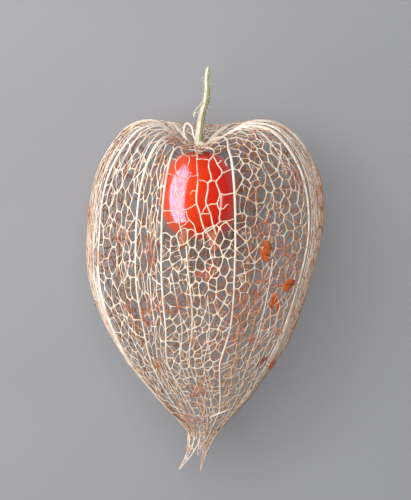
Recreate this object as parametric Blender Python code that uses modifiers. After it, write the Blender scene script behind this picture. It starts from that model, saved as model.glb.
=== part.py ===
"""A dry physalis lantern: a berry held inside the skeleton of veins that its papery husk leaves behind.

It is described as it hangs, in millimetres, with the stalk up along +Z and the seen side towards -Y.
It is then laid on its back on the plane z = 0, with the seen side up and the stalk towards +Y, in metres.
"""

import math
import random

import bmesh
import bpy
import numpy as np
from mathutils import Euler, Vector

MM = 0.001

# Husk outline from the ring at the stalk, over the shoulder, down to the throat above the five teeth:
# radius, height and sideways shift of the centre.
OUTLINE = (
    (2.2, 1.3, -0.65),
    (5.4, 3.4, -0.4),
    (9.8, 5.0, 0.3),
    (15.6, 3.5, 0.75),
    (20.2, -3.0, 0.8),
    (21.8, -12.5, 0.5),
    (20.5, -24.0, -0.6),
    (16.3, -35.2, -0.4),
    (9.6, -44.6, 0.0),
    (3.6, -51.4, 0.1),
)
WIDEST = 21.8
CURVE_STEPS = 24  # points of the outline between two of its knots
CREST_HEIGHT = 5.0
CREST_SWAY = 1.0  # the crest is this much higher at the two sides, and lower at the front and back
PANEL_SINK = 0.03  # share of the radius by which the husk sinks between two ribs
FLOOR_Y = 20.1  # the back is pressed flat here, where the lantern lies
PRESS_SOFTNESS = 0.25
FLOOR_BITE = 0.2  # the veins there are worn flat this far out from the middle of the net
FULL_SINK_SHARE = 1.5  # the sinking and the ribs' uneven spacing reach their full measure where the radius,
FULL_UNEVENNESS_SHARE = 1.4  # times this share, is that of the widest ring

# Ten ribs, by the way they face at the widest ring: 0 is the seen side, 90 the right.
RIB_FACING_DEG = (15.0, 58.0, 95.0, 153.0, 186.0, 228.0, 265.0, 298.0, 325.0, 340.0)
RIB_COUNT = len(RIB_FACING_DEG)
SECTOR = 2 * math.pi / RIB_COUNT
FIRST_RIB = math.radians(34.3)
EVENNESS = 0.5  # share of the ribs' uneven spacing that is left at the stalk and at the teeth

# Teeth: one on every second rib, with its tip in the hanging frame.
TOOTH_TIPS = {
    0: (-1.1, -1.6, -56.6),
    2: (-0.5, 0.6, -60.2),
    4: (0.6, 1.7, -56.9),
    6: (-3.3, 0.8, -56.2),
    8: (-4.5, -0.9, -59.5),
}
TOOTH_LEVELS = 1.5  # length of a tooth in levels of the unrolled husk
TOOTH_NET_END = 0.5  # share of the tooth that has net between its edges
TOOTH_TAPER = 0.8
TOOTH_ROOT_STEP = 0.15  # the last levels above the throat, whose slope a tooth goes on with
TOOTH_BEND = 0.4  # share of its length that it goes on so
SPINE_START = 0.2
SPINE_RADIUS = 0.42
SPINE_POINTS = 5
TIP_RADIUS = 0.2
EDGE_OVERLAP = 0.12  # levels by which an edge vein starts inside the net
EDGE_MEETS_SPINE = 0.86  # share of the tooth at which its edge veins have reached the middle one
EDGE_KNEE = 0.6
EDGE_RADII = (0.34, 0.33, 0.28, 0.22)

# The net of veins between the ribs.
CELL_SPACING = 3.15
TIP_CELL_SPACING = 2.5
FULL_SPACING_SHARE = 1.3
CELL_TRIES = 4000
RIB_MARGIN = 0.36  # a cell's centre stays this share of its spacing off a rib,
WIDEST_RIB_MARGIN = 0.45  # and at most this share of the strip
ON_RIB = 1e-6  # angle within which a corner counts as on a rib
CELL_LENGTHENING = (1.95, 0.65)  # cells are this much longer than wide, less this at the widest ring
SHORTEST_VEIN = 0.95
NET_WOBBLE = 0.22
RIB_THICKNESS = 1.1
VEIN_THICKNESS = 0.64
WELD_DISTANCE = 0.002
NET_SEED = 11

# Scraps of the old skin still held in corners of the net: sideways and height, on the seen side.
SCRAP_PLACES = ((11.0, -19.2), (14.8, -25.2), (12.0, -39.8))
SCRAP_CORNERS = 4
SCRAP_THICKNESS = 0.5

# Ring of the husk round the stalk, and the stalk's own end that holds ring and berry.
RING_INNER = 1.25
RING_OUTER = 2.9
RING_BOTTOM = 0.6
RING_TOP = 1.4
RING_ROUNDING = (0.3, 0.6)  # how far its outer edge is taken in below and above
RING_SIDES = 24
RING_X = -0.65
STALK_END_SIDES = 20
STALK_END_PROFILE = (  # radius and height, from the top down
    (0.0, 4.1),
    (0.52, 4.1),
    (0.66, 3.2),
    (0.95, 2.3),
    (1.6, 1.75),
    (0.9, 1.72),
    (0.9, 0.28),
    (1.6, 0.25),
    (1.6, -0.1),
    (0.0, -0.15),
)
STALK_ROUTE = (  # sideways, depth, height and radius
    (-0.62, 0.0, 2.9, 0.60),
    (-0.46, 0.0, 4.6, 0.55),
    (-0.05, -0.1, 7.4, 0.52),
    (0.55, -0.35, 9.9, 0.50),
    (0.78, -0.4, 11.9, 0.44),
    (0.66, -0.2, 13.6, 0.40),
    (1.07, 0.0, 16.3, 0.46),
)
SHRED_ROUTE = (
    (0.25, -0.2, 8.9, 0.26),
    (-0.6, -0.75, 9.3, 0.24),
    (-1.35, -1.0, 8.4, 0.22),
    (-1.75, -0.9, 7.1, 0.18),
)

# Berry outline: radius and height, from the dimple under the stalk round to the bottom.
BERRY_OUTLINE = (
    (0.0, -0.5),
    (1.7, -0.45),
    (3.0, 0.05),
    (4.9, -0.55),
    (6.5, -2.7),
    (7.25, -5.7),
    (7.3, -8.7),
    (6.8, -11.7),
    (5.3, -14.3),
    (2.9, -15.6),
    (0.0, -15.9),
)
BERRY_X = -0.75
BERRY_SIDES = 32

SHARP_ANGLE = math.radians(50)
FINISHES = {  # colour and roughness
    "calyx_skeleton": ("dry_vein", (0.80, 0.66, 0.48), 0.7),
    "stalk": ("dry_stalk", (0.62, 0.60, 0.42), 0.75),
    "berry": ("berry_skin", (0.85, 0.06, 0.01), 0.18),
}
FLOOR_CUTTER_SIZE = 200.0


def smooth_curve(knots, per_span):
    """Points of a Catmull-Rom curve through the knots."""
    knots = [np.array(knot, float) for knot in knots]
    knots = [2 * knots[0] - knots[1], *knots, 2 * knots[-1] - knots[-2]]
    points = []
    for before, start, end, after in zip(knots, knots[1:], knots[2:], knots[3:]):
        for t in np.arange(per_span) / per_span:
            bend = 2 * before - 5 * start + 4 * end - after
            twist = 3 * start - before - 3 * end + after
            points.append(start + 0.5 * t * ((end - before) + t * (bend + t * twist)))
    points.append(knots[-2])
    return np.array(points)


class Husk:
    """The surface that the net of veins lies on, unrolled to an angle and a level.

    A level runs down the outline, scaled so that one unit of angle and one of level span a cell of the
    wanted shape everywhere on the surface.
    """

    def __init__(self):
        self.outline = smooth_curve(OUTLINE, CURVE_STEPS)
        steps = np.linalg.norm(np.diff(self.outline[:, :2], axis=0), axis=1)
        radii = (self.outline[1:, 0] + self.outline[:-1, 0]) / 2
        lengthening = CELL_LENGTHENING[0] - CELL_LENGTHENING[1] * radii / WIDEST
        self.levels = np.concatenate([[0.0], np.cumsum(steps / (radii * lengthening))])
        self.throat = self.levels[-1]
        self.end = self.throat + TOOTH_LEVELS * TOOTH_NET_END

    def section(self, level):
        """Radius, height and centre shift at a level."""
        return [np.interp(level, self.levels, self.outline[:, i]) for i in range(3)]

    def facing(self, angle, radius):
        """Turns an evenly spaced angle to the way that it faces on the real, uneven husk."""
        place = angle / SECTOR
        rib = math.floor(place)
        along = place - rib
        uneven = [
            math.radians(RIB_FACING_DEG[(rib + i) % RIB_COUNT]) + 2 * math.pi * ((rib + i) // RIB_COUNT)
            for i in (0, 1)
        ]
        at_widest = uneven[0] + along * (uneven[1] - uneven[0])
        even = FIRST_RIB + angle
        share = max(EVENNESS, min(1.0, FULL_UNEVENNESS_SHARE * radius / WIDEST))
        return even + share * (at_widest - even)

    def ring_point(self, angle, level):
        """A point of the husk above the teeth."""
        radius, height, centre = self.section(level)
        between_ribs = math.sin(math.pi * (angle / SECTOR % 1.0)) ** 2
        facing = self.facing(angle, radius)
        height -= CREST_SWAY * math.cos(2 * facing) * max(0.0, height / CREST_HEIGHT) ** 2
        radius *= 1 - PANEL_SINK * between_ribs * min(1.0, FULL_SINK_SHARE * radius / WIDEST)
        x, y = centre + radius * math.sin(facing), -radius * math.cos(facing)
        over = (y - FLOOR_Y) / PRESS_SOFTNESS
        y -= PRESS_SOFTNESS * np.logaddexp(0.0, over)
        return Vector((x, y, height))

    def tooth_line(self, rib, share):
        """A point on the middle vein of a tooth, from the throat at 0 to the tip at 1."""
        root = self.ring_point(rib * SECTOR, self.throat)
        above = self.ring_point(rib * SECTOR, self.throat - TOOTH_ROOT_STEP)
        tip = Vector(TOOTH_TIPS[rib])
        bend = root + (root - above).normalized() * (tip - root).length * TOOTH_BEND
        return root.lerp(bend, share).lerp(bend.lerp(tip, share), share)

    def point(self, angle, level, rib):
        """A point of the husk, where rib is that of the tooth below it."""
        if level <= self.throat:
            return self.ring_point(angle, level)
        share = (level - self.throat) / TOOTH_LEVELS
        beside = self.ring_point(angle, self.throat) - self.ring_point(rib * SECTOR, self.throat)
        return self.tooth_line(rib, share) + beside * (1 - share) ** TOOTH_TAPER

    def spacing(self, level):
        """Distance between two cells in the unrolled plane."""
        radius, height, _ = self.section(level)
        blend = min(1.0, FULL_SPACING_SHARE * radius / WIDEST) if height < 0 else 1.0
        return (TIP_CELL_SPACING + (CELL_SPACING - TIP_CELL_SPACING) * blend) / radius


def cell_centres(husk, rng):
    """Scattered cell centres in one strip between two ribs, never closer than the spacing."""
    centres = []
    for _ in range(CELL_TRIES):
        level = rng.uniform(0.0, husk.end)
        gap = husk.spacing(level)
        margin = min(RIB_MARGIN * gap, WIDEST_RIB_MARGIN * SECTOR)
        place = (rng.uniform(margin, SECTOR - margin), level)
        if all(math.dist(place, other) > gap for other in centres):
            centres.append(place)
    return centres


def clip(polygon, near, far):
    """The part of a convex polygon that is closer to near than to far."""
    middle = ((near[0] + far[0]) / 2, (near[1] + far[1]) / 2)
    way = (far[0] - near[0], far[1] - near[1])
    beyond = [(p[0] - middle[0]) * way[0] + (p[1] - middle[1]) * way[1] for p in polygon]
    kept = []
    for i, here in enumerate(polygon):
        after = (i + 1) % len(polygon)
        if beyond[i] <= 0:
            kept.append(here)
        if beyond[i] * beyond[after] < 0:
            t = beyond[i] / (beyond[i] - beyond[after])
            there = polygon[after]
            kept.append((here[0] + t * (there[0] - here[0]), here[1] + t * (there[1] - here[1])))
    return kept


def strip_cells(husk, rng):
    """The cells of one strip, each the area closest to its own centre."""
    centres = cell_centres(husk, rng)
    cells = []
    for centre in centres:
        cell = [(0.0, 0.0), (SECTOR, 0.0), (SECTOR, husk.end), (0.0, husk.end)]
        for other in centres:
            if other is not centre:
                cell = clip(cell, centre, other)
        cells.append([(round(x, 7), round(level, 7)) for x, level in cell])
    return cells


def rib_of(sector, across):
    """The rib that a place in a strip lies on, or None."""
    if across < ON_RIB:
        return sector
    return (sector + 1) % RIB_COUNT if across > SECTOR - ON_RIB else None


def with_rib_joints(cell, sector, joints):
    """The cell with every joint that its neighbour across the rib has on their common edge."""
    full = []
    for here, after in zip(cell, cell[1:] + cell[:1]):
        full.append(here)
        rib = rib_of(sector, here[0])
        if rib is None or rib_of(sector, after[0]) != rib or here[0] != after[0]:
            continue
        low, high = sorted((here[1], after[1]))
        between = sorted((v for v in joints[rib] if low < v < high), reverse=bool(here[1] > after[1]))
        full.extend((here[0], v) for v in between)
    return full


def merge_close(points, on_rib, faces):
    """The net without the veins that are too short to model, its ribs left where they are."""
    leader = list(range(len(points)))

    def lead(i):
        while leader[i] != i:
            i = leader[i]
        return i

    for face in faces:
        for a, b in zip(face, face[1:] + face[:1]):
            if (points[a] - points[b]).length < SHORTEST_VEIN:
                leader[lead(a)] = lead(b)
    groups = {}
    for i in range(len(points)):
        groups.setdefault(lead(i), []).append(i)
    for first, members in groups.items():
        fixed = [i for i in members if on_rib[i]] or members
        points[first] = sum((points[i] for i in fixed), Vector()) / len(fixed)
        on_rib[first] = any(on_rib[i] for i in members)
    merged = []
    for face in faces:
        loop = [lead(i) for i in face]
        loop = [i for i, before in zip(loop, loop[-1:] + loop[:-1]) if i != before]
        if len(set(loop)) > 2 and len(set(loop)) == len(loop):
            merged.append(loop)
    used = sorted({i for face in merged for i in face})
    place = {old: new for new, old in enumerate(used)}
    merged = [[place[i] for i in face] for face in merged]
    return [points[i] for i in used], [on_rib[i] for i in used], merged


def vein_cells(husk):
    """Corner points of the whole net, which of them are on a rib, and the cells between them."""
    rng = random.Random(NET_SEED)
    strips = [strip_cells(husk, rng) for _ in range(RIB_COUNT)]
    joints = {rib: set() for rib in range(RIB_COUNT)}
    for sector, cells in enumerate(strips):
        for across, level in (place for cell in cells for place in cell):
            if rib_of(sector, across) is not None:
                joints[rib_of(sector, across)].add(level)
    index, points, on_rib, faces = {}, [], [], []
    for sector, cells in enumerate(strips):
        tooth = (sector + 1) // 2 * 2 % RIB_COUNT
        for cell in cells:
            face = []
            for across, level in with_rib_joints(cell, sector, joints):
                rib = rib_of(sector, across)
                side = tooth if level > husk.throat else None
                key = (sector if rib is None else -1 - rib, across if rib is None else 0, level, side)
                if key not in index:
                    index[key] = len(points)
                    angle = sector * SECTOR + across
                    if tooth == 0 and sector == RIB_COUNT - 1:
                        angle -= 2 * math.pi
                    point = husk.point(angle, level, tooth)
                    if rib is None:
                        centre = Vector((husk.section(min(level, husk.throat))[2], 0, point.z))
                        outward = (point - centre).normalized()
                        wobble = rng.uniform(-NET_WOBBLE, NET_WOBBLE)
                        point += outward * wobble if point.y < FLOOR_Y - 1 else Vector()
                    points.append(point)
                    on_rib.append(rib is not None)
                face.append(index[key])
            faces.append(face)
    return merge_close(points, on_rib, faces)


def material(name, colour, roughness):
    """A plain surface of one colour."""
    made = bpy.data.materials.new(name)
    made.use_nodes = True
    shader = made.node_tree.nodes["Principled BSDF"]
    shader.inputs["Base Color"].default_value = (*colour, 1.0)
    shader.inputs["Roughness"].default_value = roughness
    shader.inputs["Metallic"].default_value = 0.0
    return made


def add_object(name, data, collection):
    """A new object in a collection."""
    made = bpy.data.objects.new(name, data)
    collection.objects.link(made)
    return made


def mesh_of(name, points, faces):
    """A mesh with its faces pointing out."""
    mesh = bpy.data.meshes.new(name)
    mesh.from_pydata([p * MM for p in points], [], faces)
    shaped = bmesh.new()
    shaped.from_mesh(mesh)
    bmesh.ops.recalc_face_normals(shaped, faces=shaped.faces)
    shaped.to_mesh(mesh)
    shaped.free()
    return mesh


def frozen(source, name, collection, weld=True):
    """A mesh object in place of the source, with its modifiers or its curve built in, facing out."""
    source.name = name + "_source"
    bpy.context.view_layer.update()
    evaluated = source.evaluated_get(bpy.context.evaluated_depsgraph_get())
    mesh = bpy.data.meshes.new_from_object(evaluated)
    shaped = bmesh.new()
    shaped.from_mesh(mesh)
    if weld:
        bmesh.ops.remove_doubles(shaped, verts=shaped.verts, dist=WELD_DISTANCE * MM)
        bmesh.ops.recalc_face_normals(shaped, faces=shaped.faces)
    if shaped.calc_volume(signed=True) < 0:
        bmesh.ops.reverse_faces(shaped, faces=shaped.faces)
    shaped.to_mesh(mesh)
    shaped.free()
    made = add_object(name, mesh, collection)
    made.matrix_world = source.matrix_world
    bpy.data.objects.remove(source)
    return made


def tube(name, route, collection, sides=2, smooth=4):
    """A tapered tube along a route of sideways, depth, height and radius."""
    curve = bpy.data.curves.new(name, "CURVE")
    curve.dimensions = "3D"
    curve.bevel_depth = MM
    curve.bevel_resolution = sides
    curve.use_fill_caps = True
    points = smooth_curve(route, smooth)
    spline = curve.splines.new("POLY")
    spline.points.add(len(points) - 1)
    for place, point in zip(points, spline.points):
        point.co = (*(place[:3] * MM), 1.0)
        point.radius = place[3]
    return frozen(add_object(name, curve, collection), name, collection)


def turned(name, profile, sides, collection):
    """A solid turned about Z from a profile of radius and height, top to bottom."""
    mesh = bpy.data.meshes.new(name)
    points = [(radius * MM, 0.0, height * MM) for radius, height in profile]
    mesh.from_pydata(points, [(i, i + 1) for i in range(len(points) - 1)], [])
    made = add_object(name, mesh, collection)
    screw = made.modifiers.new("turn", "SCREW")
    screw.axis = "Z"
    screw.steps = screw.render_steps = sides
    screw.use_merge_vertices = True
    screw.merge_threshold = 0.00001
    screw.use_smooth_shade = True
    return made


def join(body, parts):
    """Unites the body with every object in a collection, which is then emptied."""
    union = body.modifiers.new("join", "BOOLEAN")
    union.operation = "UNION"
    union.operand_type = "COLLECTION"
    union.collection = parts
    union.solver = "MANIFOLD"
    joined = frozen(body, body.name, body.users_collection[0], weld=False)
    for obj in list(parts.objects):
        bpy.data.objects.remove(obj)
    return joined


def build_net(husk, collection):
    """The open net of ribs and veins, as bars round every cell; with its points and cells."""
    points, on_rib, faces = vein_cells(husk)
    net = add_object("calyx_skeleton", mesh_of("net", points, faces), collection)
    group = net.vertex_groups.new(name="thickness")
    group.add([i for i, rib in enumerate(on_rib) if rib], 1.0, "REPLACE")
    group.add([i for i, rib in enumerate(on_rib) if not rib], VEIN_THICKNESS / RIB_THICKNESS, "REPLACE")
    wire = net.modifiers.new("veins", "WIREFRAME")
    wire.thickness = RIB_THICKNESS * MM
    wire.offset = 0.0
    wire.use_even_offset = False
    wire.use_boundary = True
    wire.use_replace = True
    wire.vertex_group = group.name
    return net, points, faces


def add_scraps(points, faces, parts):
    """A plate across some corners of the cell that is nearest to each scrap's place on the seen side."""
    seen = [face for face in faces if sum(points[i].y for i in face) < 0]
    for number, place in enumerate(SCRAP_PLACES):

        def away(face):
            middle = sum((points[i] for i in face), Vector()) / len(face)
            return math.hypot(middle.x - place[0], middle.z - place[1])

        face = min(seen, key=away)
        seen.remove(face)
        corners = [points[i] for i in face[:SCRAP_CORNERS]]
        plate = add_object(f"scrap_{number}", mesh_of("scrap", corners, [range(len(corners))]), parts)
        solid = plate.modifiers.new("thickness", "SOLIDIFY")
        solid.thickness = SCRAP_THICKNESS * MM
        solid.offset = 0.0
        frozen(plate, f"plate_{number}", parts)


def add_teeth(husk, parts):
    """The middle vein and the two edge veins of each tooth, which meet in its tip."""
    for rib in TOOTH_TIPS:
        shares = np.linspace(SPINE_START, 1.0, SPINE_POINTS)
        radii = np.interp(shares, [0, 1], [SPINE_RADIUS, TIP_RADIUS])
        route = [(*husk.tooth_line(rib, s), r) for s, r in zip(shares, radii)]
        tube(f"spine_{rib}", route, parts, smooth=2)
        for side in (-1, 1):
            above = husk.point((rib + side) * SECTOR, husk.end - EDGE_OVERLAP, rib)
            corner = husk.point((rib + side) * SECTOR, husk.end, rib)
            meet = husk.tooth_line(rib, EDGE_MEETS_SPINE)
            places = (above, corner, corner.lerp(meet, EDGE_KNEE), meet)
            edge = [(*place, radius) for place, radius in zip(places, EDGE_RADII)]
            tube(f"edge_{rib}_{side}", edge, parts, sides=1, smooth=1)


def build_calyx(husk, collection, parts):
    """The whole husk skeleton as one body, cut flat where it lies."""
    net, points, faces = build_net(husk, collection)
    net = frozen(net, "calyx_skeleton", collection)
    middle = (RING_TOP + RING_BOTTOM) / 2
    profile = [(RING_OUTER, middle), (RING_OUTER - RING_ROUNDING[0], RING_BOTTOM), (RING_INNER, RING_BOTTOM)]
    profile += [(RING_INNER, RING_TOP), (RING_OUTER - RING_ROUNDING[1], RING_TOP), (RING_OUTER, middle)]
    ring = turned("ring", profile, RING_SIDES, parts)
    ring.location.x = RING_X * MM
    frozen(ring, "ring_solid", parts)
    add_scraps(points, faces, parts)
    add_teeth(husk, parts)
    return join(net, parts)


def build_stalk(collection, parts):
    """The dry stalk, its peeled shred, and the spool end that holds the husk's ring and the berry."""
    stalk = tube("stalk", STALK_ROUTE, collection, sides=2, smooth=4)
    end = turned("end", STALK_END_PROFILE, STALK_END_SIDES, parts)
    end.location.x = RING_X * MM
    frozen(end, "end_solid", parts)
    tube("shred", SHRED_ROUTE, parts, sides=1, smooth=3)
    return join(stalk, parts)


def build_berry(collection):
    """The round berry, with the dimple under its stalk."""
    profile = smooth_curve(BERRY_OUTLINE, 2)
    profile[0][0] = profile[-1][0] = 0.0
    berry = turned("berry", [tuple(p) for p in profile], BERRY_SIDES, collection)
    berry.location.x = BERRY_X * MM
    return berry


def world_box(objects):
    """Lowest and highest corner of the objects as built."""
    bpy.context.view_layer.update()
    graph = bpy.context.evaluated_depsgraph_get()
    corners = []
    for obj in objects:
        evaluated = obj.evaluated_get(graph)
        corners += [evaluated.matrix_world @ v.co for v in evaluated.data.vertices]
    corners = np.array(corners)
    return corners.min(axis=0), corners.max(axis=0)


def main():
    """Builds the three nodes, lays them on the floor plane and centres them over it."""
    for obj in list(bpy.data.objects):
        bpy.data.objects.remove(obj)
    scene = bpy.context.scene
    collection = bpy.data.collections.new("physalis_berry")
    parts = bpy.data.collections.new("joined_pieces")
    cutters = bpy.data.collections.new("cutters")
    for made in (collection, parts, cutters):
        scene.collection.children.link(made)

    husk = Husk()
    lying = bpy.data.objects.new("lying", None)
    collection.objects.link(lying)
    nodes = [build_calyx(husk, collection, parts), build_stalk(collection, parts), build_berry(collection)]
    for node in nodes:
        node.data.materials.clear()
        node.data.materials.append(material(*FINISHES[node.name]))
        node.data.shade_smooth()
        node.data.set_sharp_from_angle(angle=SHARP_ANGLE)
        node.parent = lying
    lying.rotation_euler = Euler((-math.pi / 2, 0.0, 0.0))
    lying.location.z = (FLOOR_Y + FLOOR_BITE) * MM
    low, high = world_box(nodes)
    lying.location.x = -(low[0] + high[0]) / 2
    lying.location.y = -(low[1] + high[1]) / 2

    size = FLOOR_CUTTER_SIZE * MM
    bpy.ops.mesh.primitive_cube_add(size=size, location=(0.0, 0.0, -size / 2))
    floor = bpy.context.active_object
    floor.name = "floor_cut"
    floor.hide_render = True
    floor.display_type = "WIRE"
    for old in list(floor.users_collection):
        old.objects.unlink(floor)
    cutters.objects.link(floor)
    flat = nodes[0].modifiers.new("lie_flat", "BOOLEAN")
    flat.operation = "DIFFERENCE"
    flat.object = floor
    flat.solver = "MANIFOLD"


main()
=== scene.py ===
"""Looks of a dry physalis lantern: a berry seen through the skeleton of veins that its husk leaves behind.

The lantern's own surface is described as it hangs, in millimetres, with the stalk up along +Z and the seen
side towards -Y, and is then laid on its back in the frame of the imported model, in metres.
"""

import logging
import math
from dataclasses import dataclass, field
from enum import Enum
from typing import Any, Iterable, Sequence

import bpy
import numpy as np
from mathutils import Matrix, Vector


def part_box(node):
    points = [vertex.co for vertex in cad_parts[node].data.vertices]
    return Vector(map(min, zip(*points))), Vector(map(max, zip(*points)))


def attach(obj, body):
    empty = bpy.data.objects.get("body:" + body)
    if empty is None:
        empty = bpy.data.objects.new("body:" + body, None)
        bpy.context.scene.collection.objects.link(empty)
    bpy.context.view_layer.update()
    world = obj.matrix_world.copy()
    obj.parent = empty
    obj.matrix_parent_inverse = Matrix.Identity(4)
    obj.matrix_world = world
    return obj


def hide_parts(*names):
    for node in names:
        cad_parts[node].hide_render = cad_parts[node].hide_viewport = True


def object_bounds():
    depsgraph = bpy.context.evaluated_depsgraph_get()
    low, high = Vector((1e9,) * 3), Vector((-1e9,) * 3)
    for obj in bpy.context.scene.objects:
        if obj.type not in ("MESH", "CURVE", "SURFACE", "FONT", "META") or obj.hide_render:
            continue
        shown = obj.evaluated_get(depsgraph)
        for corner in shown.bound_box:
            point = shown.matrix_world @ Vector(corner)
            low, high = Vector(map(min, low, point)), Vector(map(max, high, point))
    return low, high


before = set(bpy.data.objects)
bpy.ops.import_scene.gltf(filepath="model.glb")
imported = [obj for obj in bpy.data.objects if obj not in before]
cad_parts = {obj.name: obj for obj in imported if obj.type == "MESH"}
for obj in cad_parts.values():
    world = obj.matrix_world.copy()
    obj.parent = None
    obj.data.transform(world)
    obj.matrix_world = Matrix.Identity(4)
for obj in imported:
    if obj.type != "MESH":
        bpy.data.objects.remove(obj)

log = logging.getLogger("lantern")

MM = 0.001
CAD_BOX = [list(corner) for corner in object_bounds()]

BERRY_X = -0.75  # sideways place of the berry's middle on the hanging lantern
BERRY_BOTTOM = -15.9  # height of its lowest point there
CAMERA_LEAN_DEG = 9.0  # from straight above, towards the stalk
ON_SIDE = 1e-6  # an unrolled place this near a sector's side lies on it
ON_EDGE = 3e-6  # and this near a cell's edge, on that edge

Points = np.ndarray
Rng = np.random.Generator
Piece = bpy.types.Object
Span = tuple[float, float]
Trio = Colour = tuple[float, float, float]
Trios = tuple[Trio, ...]
Strand = tuple[tuple[float, float, float, float], ...]
Pair = tuple[int, int]
Face = tuple[int, ...]
Polygon = list[Span]


def unit(vectors: Points) -> Points:
    """Each row scaled to length one."""
    return vectors / np.maximum(np.linalg.norm(vectors, axis=-1, keepdims=True), 1e-12)


def smooth_curve(knots: Sequence[Sequence[float]], per_span: int) -> Points:
    """Reads points from a smooth curve through knots.

    Args:
        knots: Points of any dimension, in order.
        per_span: Number of points from one knot to the next.

    Returns:
        The points, one a row, ending on the last knot.
    """
    rows = [np.array(knot, float) for knot in knots]
    rows = [2 * rows[0] - rows[1], *rows, 2 * rows[-1] - rows[-2]]
    points = []
    for before, start, end, after in zip(rows, rows[1:], rows[2:], rows[3:]):
        for t in np.arange(per_span) / per_span:
            bend = 2 * before - 5 * start + 4 * end - after
            twist = 3 * start - before - 3 * end + after
            points.append(start + 0.5 * t * ((end - before) + t * (bend + t * twist)))
    points.append(rows[-2])
    return np.array(points)


def stretched(values: Points | float, count: int) -> Points:
    """Values that are spread evenly over another number of places."""
    values = np.atleast_1d(values)
    return np.interp(np.linspace(0, 1, count), np.linspace(0, 1, len(values)), values)


def pair(a: int, b: int) -> Pair:
    """Two corners, the lower number first."""
    return min(a, b), max(a, b)


def around(loop: list[Any]) -> Iterable[tuple[Any, Any]]:
    """Each item of a closed loop with the next one."""
    return zip(loop, loop[1:] + loop[:1])


def bands(rings: int, sides: int) -> list[Face]:
    """Faces of the bands between closed rings of points.

    Args:
        rings: Number of rings, one after another.
        sides: Points in each.

    Returns:
        The four corners of each face, down one side and up the other.
    """
    faces: list[Face] = []
    for ring in range(0, (rings - 1) * sides, sides):
        for i in range(sides):
            a, b = ring + i, ring + (i + 1) % sides
            faces.append((a, a + sides, b + sides, b))
    return faces


def ring_angles(sides: int) -> Points:
    """Evenly spaced angles round a ring."""
    return np.arange(sides) * 2 * math.pi / sides


def ring_points(centre_x: float, size: Points | float, height: Points | float, angles: Points) -> Points:
    """Points round an upright line, the first of them on the seen side."""
    x, y = centre_x + size * np.sin(angles), -size * np.cos(angles)
    return np.column_stack(np.broadcast_arrays(x, y, height))


def berry_shift() -> Points:
    """Where the hanging lantern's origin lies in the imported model, found from its berry, in metres."""
    low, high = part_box("berry")
    middle = (low + high) / 2
    return np.array([middle.x - BERRY_X * MM, low.y - BERRY_BOTTOM * MM, middle.z])


SHIFT = berry_shift()


def laid(points: Points) -> Points:
    """Points of the hanging lantern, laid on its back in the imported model."""
    x, y, z = np.asarray(points, float).T
    return np.column_stack([x, z, -y]) * MM + SHIFT


def linked(name: str, data: bpy.types.ID) -> Piece:
    """A new object in the scene that holds a mesh, a light or a camera."""
    made = bpy.data.objects.new(name, data)
    bpy.context.scene.collection.objects.link(made)
    return made


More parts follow.
